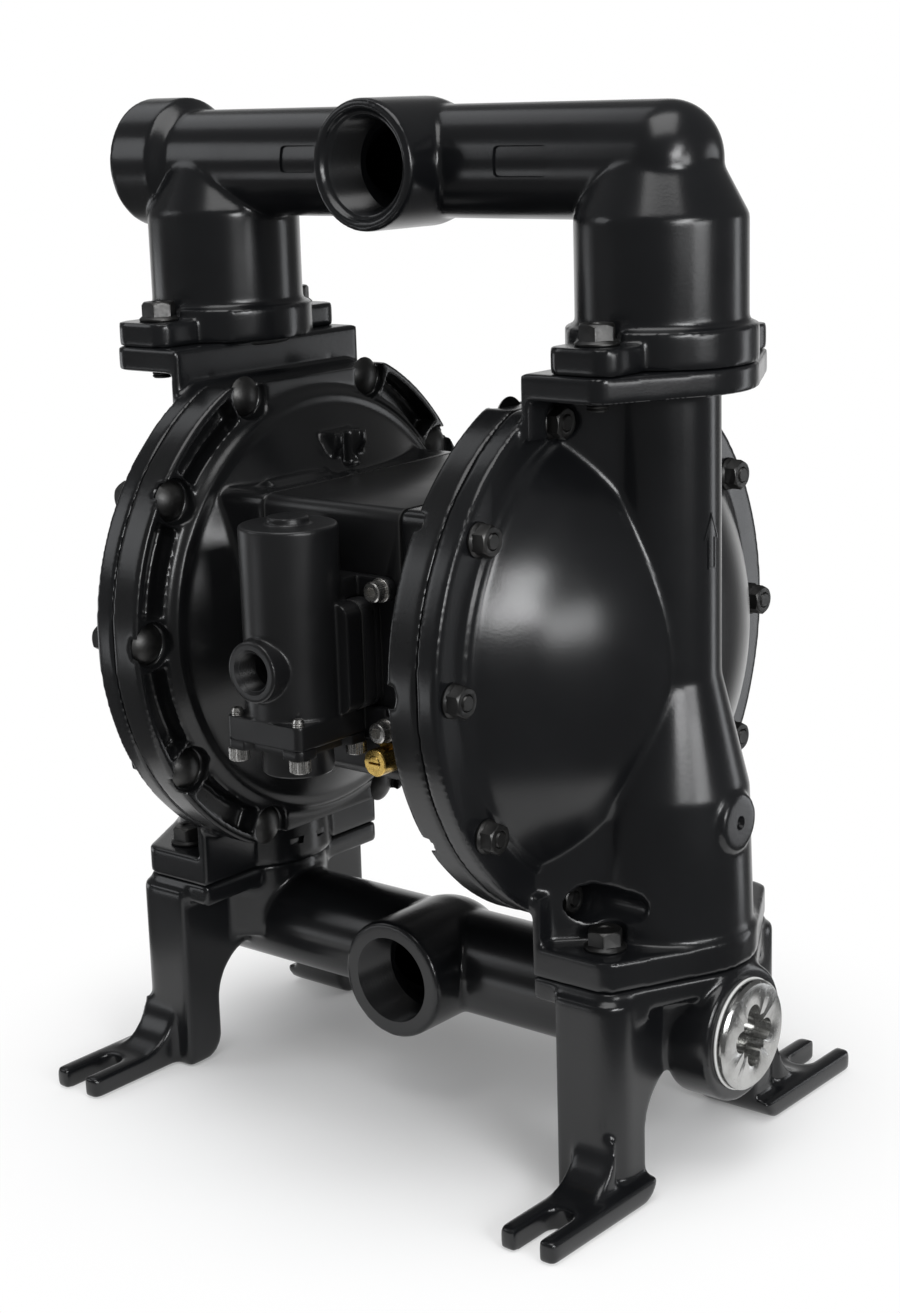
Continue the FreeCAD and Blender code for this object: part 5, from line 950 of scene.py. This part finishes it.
def plug(name, face, head_r, head_t, depth, level, sign):
    """A screwed plug with a four lobed key hole."""
    if head_t:
        profile = [
            (0, 0), (0, head_r - 1.4), (1.4, head_r), (head_t, head_r),
            (head_t, 22.32), (depth, 22.32), (depth, 0),
        ]
    else:
        profile = [(0, 0), (0, 21.4), (0.9, 22.32), (depth, 22.32), (depth, 0)]
    axis = "-X" if sign > 0 else "X"
    body = lathe(profile, (sign * face, 0, level), axis, 128)
    start = sign * (face + 1)
    ways = ((-10, 0), (10, 0), (0, -10), (0, 10))
    lobes = [bar(5.4, 10, (start, y, level + z), axis, 48) for y, z in ways]
    low, high = sorted((start, sign * (face - 9)))
    item = to_object(name, [body])
    for lobe in lobes:
        boolean(item, [lobe])
    boolean(item, [block((low, -8.6, level - 8.6), (high, 8.6, level + 8.6))])
    return broken(item, 0.4, 40)


def muffler():
    """The exhaust silencer: neck, grooved drum and rounded end."""
    profile = rounded_outline(
        [(59, 0), (59, 13), (80, 13), (82, 24), (129, 24), (133.5, 20), (135, 15), (135, 0)],
        [0, 0.6, 1.0, 1.5, 4.0, 2.0, 2.0, 0], 6,
    )
    drum = to_object("muffler_cast", [lathe(profile, (0, 0, CHAMBER_Z), "Y", 144)])
    bars = []
    for i in range(12):
        turn = math.radians(30.0 * i)
        bars.append(bar(2.0, 34, (23.5 * math.cos(turn), 89, CHAMBER_Z + 23.5 * math.sin(turn)), "Y", 32))
    return carve(drum, [bars])


def ground_parts():
    """The earthing clamp and its screw."""
    seat = (33, -77.3, 200.5)
    collar = lathe([(0, 3.6), (0, 6.2), (0.4, 6.6), (11.5, 6.6), (12, 6.1), (12, 3.6)], seat, "-Y", 64)
    tab = block((29, -80.3, 205.5), (37, -77.3, 208.7))
    lug = to_object("ground_lug_brass", [collar, tab])
    shank = lathe([(0, 0), (0, 3.5), (12.1, 3.5), (12.5, 3.1), (12.5, 0)], seat, "-Y", 48)
    screw = to_object("ground_screw_brass", [shank])
    return lug, carve(screw, [block((27, -90.5, 199.9), (39, -88.0, 201.1))])


# Dress the frame

def dress(item, slot, *nodes, degrees=32):
    """Smooth a piece, give it its finish and let it stand for its nodes."""
    smooth(item, degrees)
    return finish_piece(item, FINISH[slot], slot, "pump", *nodes)


right_cap = fluid_cap()
left_cap = copy_turned(right_cap, "fluid_cap_left_cast")
dress(right_cap, "cast_gloss_black", "fluid_cap_right")
dress(left_cap, "cast_gloss_black", "fluid_cap_left")
right_air = air_cap()
left_air = copy_turned(right_air, "air_cap_left_cast")
for cap, sign, side in ((right_air, 1, "right"), (left_air, -1, "left")):
    carve(cap, [bar(5.5, 11, (sign * 42, -22, 283), "X" if sign > 0 else "-X", 32)])
    dress(cap, SLOT_OF["air_cap_" + side], "air_cap_" + side)
for piece, node in (
    (outlet_manifold(), "outlet_manifold"),
    (inlet_manifold(), "inlet_manifold"),
    (centre_body(), "centre_body"),
    (valve_body(), "valve_body"),
    (valve_end_cap(), "valve_end_cap"),
    (muffler(), "muffler"),
    (valve_layer("valve_gasket_inner_flat", 77.0, 1.0), "valve_gasket_inner"),
    (valve_layer("valve_plate_flat", 78.0, 4.0), "valve_plate"),
    (valve_layer("valve_spacer_flat", 82.0, 7.5), "valve_spacer"),
    (valve_layer("valve_gasket_outer_flat", 89.5, 1.0), "valve_gasket_outer"),
    (plug("inlet_end_plug_turned", 185.8, 26.4, 4.0, 22.0, INLET_Z, 1), "inlet_end_plug"),
    (plug("outlet_end_plug_turned", 185.3, 0, 0, 18.0, OUTLET_Z, -1), "outlet_end_plug"),
):
    dress(piece, SLOT_OF[node], node)
ring = [(0, 22.8), (0, 26.8), (0.3, 27.0), (0.9, 27.0), (1.2, 26.8), (1.2, 22.8)]
seal = to_object("inlet_plug_seal_ring", [lathe(ring, (180.6, 0, INLET_Z), "X", 128)])
dress(seal, SLOT_OF["inlet_plug_seal"], "inlet_plug_seal")
bolt, nut = domed_bolt(), flange_nut()
for side, sign, axis in (("right", 1, "X"), ("left", -1, "-X")):
    for node, solid, x in (("clamp_bolts_" + side, bolt, 84.0), ("clamp_nuts_" + side, nut, CAP_FACE_X)):
        piece = at_places(node + "_turned", solid, [((sign * x, y, z), axis) for y, z in clamp_spots()])
        dress(piece, SLOT_OF[node], node)
EARS = [(x, y) for x in (RISER_X, -RISER_X) for y in (-EAR_Y, EAR_Y)]
for node, length, z in (("outlet_flange_bolts", 29.0, 397.0), ("inlet_flange_bolts", 32.0, JOINT_LOW + 14.5)):
    bolts = at_places(node + "_turned", flange_bolt(length), [((x, y, z), "Z") for x, y in EARS])
    dress(bolts, SLOT_OF[node], node)
long_screw, short_screw = socket_screw(19.5), socket_screw(12.0)
cap_screws = [moved(long_screw if y < VALVE_Y else short_screw, (x, y, 209.0), "-Z") for x, y in CAP_SPOTS]
dress(to_object("end_cap_screws_turned", cap_screws), SLOT_OF["end_cap_screws"], "end_cap_screws")
screws = [((x, -83.0, z), "-Y") for x, z in VALVE_SPOTS]
dress(at_places("valve_screws_turned", long_screw, screws), SLOT_OF["valve_screws"], "valve_screws")
ring = lathe([(0, 3.2), (0, 5.6), (0.2, 5.8), (1.0, 5.8), (1.2, 5.6), (1.2, 3.2)], (0, 0, 0), "Z", 48)
rings = [((x, -81.8, z), "-Y") for x, z in VALVE_SPOTS]
dress(at_places("valve_washers_turned", ring, rings), SLOT_OF["valve_washers"], "valve_washers")
lug, lug_screw = ground_parts()
dress(lug, SLOT_OF["ground_lug"], "ground_lug")
dress(lug_screw, SLOT_OF["ground_screw"], "ground_screw")


# Diaphragms

SECTORS = 12


def diaphragm_sector(node, sector):
    """One sector of a diaphragm, cut as a wedge from its mesh: the caps hold its rim, the rod carries its
    middle.
    """
    item = linked(f"{node}_sector_{sector}", frame["nodes"][node].data.copy())
    work = bmesh.new()
    work.from_mesh(item.data)
    bmesh.ops.remove_doubles(work, verts=work.verts, dist=1e-6)
    work.to_mesh(item.data)
    work.free()
    half, turn, reach = math.pi / SECTORS, 2 * math.pi * sector / SECTORS, 160.0
    sides = [turn - half, turn + half]
    wedge = [(0.0, CHAMBER_Z)] + [(reach * math.cos(a), CHAMBER_Z + reach * math.sin(a)) for a in sides]
    boolean(item, [prism(wedge, -140, 140, "YZ")], "INTERSECT")
    smooth(item)
    item.data.materials.clear()
    item.data.materials.append(FINISH[SLOT_OF[node]])
    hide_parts(node)
    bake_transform(item)


for node in ("diaphragm_right", "diaphragm_left"):
    for sector in range(SECTORS):
        diaphragm_sector(node, sector)


# Stage, light and camera

def disc(name, radius, level, steps=96):
    """A flat round floor."""
    turns = [2 * math.pi * i / steps for i in range(steps)]
    points = [(radius * math.cos(turn), radius * math.sin(turn), level) for turn in turns]
    mesh = bpy.data.meshes.new(name)
    mesh.from_pydata(points, [], [tuple(range(steps))])
    return linked(name, mesh)


def soft_box(name, azimuth, elevation, distance, size, radiance, tone=(1, 1, 1)):
    """A soft box that faces the pump from a direction."""
    lamp = bpy.data.lights.new(name, "AREA")
    lamp.shape = "RECTANGLE"
    lamp.size, lamp.size_y = size
    lamp.energy = radiance * math.pi * size[0] * size[1]
    lamp.color = tone
    turn, rise = math.radians(azimuth), math.radians(elevation)
    toward = Vector((math.cos(turn) * math.cos(rise), math.sin(turn) * math.cos(rise), math.sin(rise)))
    item = linked(name, lamp)
    item.location = Vector((0, 0, 0.25)) + toward * distance
    item.rotation_mode = "QUATERNION"
    item.rotation_quaternion = (-toward).to_track_quat("-Z", "Y")


def maths(tree, operation, *sources):
    """The output of a math node fed by sockets or numbers."""
    node = tree.nodes.new("ShaderNodeMath")
    node.operation = operation
    for socket, source in zip(node.inputs, sources):
        if isinstance(source, float):
            socket.default_value = source
        else:
            tree.links.new(source, socket)
    return node.outputs[0]


def ramp_between(tree, source, start, end, low=0.0, high=1.0):
    """A soft rise from one value to another as the source goes from start to end."""
    node = tree.nodes.new("ShaderNodeMapRange")
    node.interpolation_type = "SMOOTHSTEP"
    node.inputs["From Min"].default_value = start
    node.inputs["From Max"].default_value = end
    node.inputs["To Min"].default_value = low
    node.inputs["To Max"].default_value = high
    tree.links.new(source, node.inputs["Value"])
    return node.outputs["Result"]


def floor_material():
    """Pale floor that keeps the pump's shadow near it and runs out to white."""
    material, shader = new_material("floor", (0.9, 0.9, 0.9), 0.0, 0.6)
    tree = material.node_tree
    nodes, links = tree.nodes, tree.links
    shader.inputs["Specular IOR Level"].default_value = 0.0
    far = nodes.new("ShaderNodeVectorMath")
    far.operation = "LENGTH"
    links.new(nodes.new("ShaderNodeTexCoord").outputs["Object"], far.inputs[0])
    fade = ramp_between(tree, far.outputs["Value"], 0.1, 0.3)
    path = nodes.new("ShaderNodeLightPath").outputs
    seen = maths(tree, "MAXIMUM", path["Is Camera Ray"], path["Is Transmission Ray"])
    both = maths(tree, "MAXIMUM", seen, path["Is Glossy Ray"])
    mix = nodes.new("ShaderNodeMixShader")
    links.new(maths(tree, "MULTIPLY", fade, both), mix.inputs["Fac"])
    links.new(shader.outputs["BSDF"], mix.inputs[1])
    links.new(nodes.new("ShaderNodeEmission").outputs["Emission"], mix.inputs[2])
    links.new(mix.outputs["Shader"], nodes["Material Output"].inputs["Surface"])
    return material


def studio_world(fill, room, behind):
    """White to the camera, a white backdrop in a dim room to reflections, an even fill as light."""
    world = bpy.data.worlds.new("studio")
    bpy.context.scene.world = world
    world.use_nodes = True
    tree = world.node_tree
    nodes, links = tree.nodes, tree.links
    background = nodes["Background"]
    background.inputs["Color"].default_value = (1, 1, 1, 1)
    path = nodes.new("ShaderNodeLightPath").outputs
    seen = maths(tree, "MAXIMUM", path["Is Camera Ray"], path["Is Transmission Ray"])
    facing = nodes.new("ShaderNodeVectorMath")
    facing.operation = "DOT_PRODUCT"
    facing.inputs[1].default_value = behind
    links.new(nodes.new("ShaderNodeTexCoord").outputs["Generated"], facing.inputs[0])
    card = ramp_between(tree, facing.outputs["Value"], 0.72, 0.97, room, 1.0)
    glossy = maths(tree, "MULTIPLY", card, path["Is Glossy Ray"])
    diffuse = maths(tree, "MULTIPLY", maths(tree, "SUBTRACT", 1.0, path["Is Glossy Ray"]), fill)
    strength = maths(tree, "MAXIMUM", maths(tree, "ADD", glossy, diffuse), seen)
    links.new(strength, background.inputs["Strength"])


azimuth, elevation, roll = (math.radians(a) for a in (39.65, 13.86, -1.72))
level = Vector((-math.sin(azimuth), math.cos(azimuth), 0))
forward = level * math.cos(elevation) - Vector((0, 0, math.sin(elevation)))
floor = disc("floor", 0.32, -0.0002)
floor.data.materials.append(floor_material())
studio_world(0.55, 0.13, tuple(forward))
soft_box("key", -25, 14, 2.2, (0.8, 0.42), 13.0, (0.98, 0.99, 1.0))
soft_box("key_low", -4, 6, 2.2, (0.75, 0.36), 8.0, (0.98, 0.99, 1.0))
soft_box("dish", -19, 23, 2.2, (0.6, 0.26), 12.0, (0.98, 0.99, 1.0))
soft_box("side_strip", 57, -5, 2.2, (0.4, 1.2), 2.6, (0.95, 0.97, 1.0))
soft_box("front", -140, 22, 2.4, (0.9, 0.9), 1.6, (0.95, 0.97, 1.0))
soft_box("front_low", -130, -13, 2.2, (0.8, 0.3), 1.7, (0.95, 0.97, 1.0))
soft_box("left", -172, -8, 2.2, (0.9, 0.7), 1.4, (0.95, 0.97, 1.0))
soft_box("back_high", 168, 50, 2.2, (1.1, 1.0), 0.8, (0.95, 0.97, 1.0))
soft_box("top", -50, 74, 2.0, (1.5, 1.5), 3.0)

CAMERA_PLACE = (0.72265, -0.86356, 0.50675)
FOCAL_PIXELS, PHOTO_HEIGHT, SENSOR = 2299.4, 1313, 36.0
camera_data = bpy.data.cameras.new("camera")
camera = linked("camera", camera_data)
side = Vector((math.cos(azimuth), math.sin(azimuth), 0))
above = side.cross(forward)
across = side * math.cos(roll) + above * math.sin(roll)
upward = above * math.cos(roll) - side * math.sin(roll)
camera.matrix_world = Matrix((across, upward, -forward)).transposed().to_4x4()
camera.matrix_world.translation = CAMERA_PLACE
camera_data.sensor_fit = "AUTO"
camera_data.sensor_width = SENSOR
camera_data.lens = FOCAL_PIXELS / PHOTO_HEIGHT * SENSOR
camera_data.clip_start, camera_data.clip_end = 0.01, 50
bpy.context.scene.camera = camera
bpy.context.scene.view_settings.view_transform = "Standard"
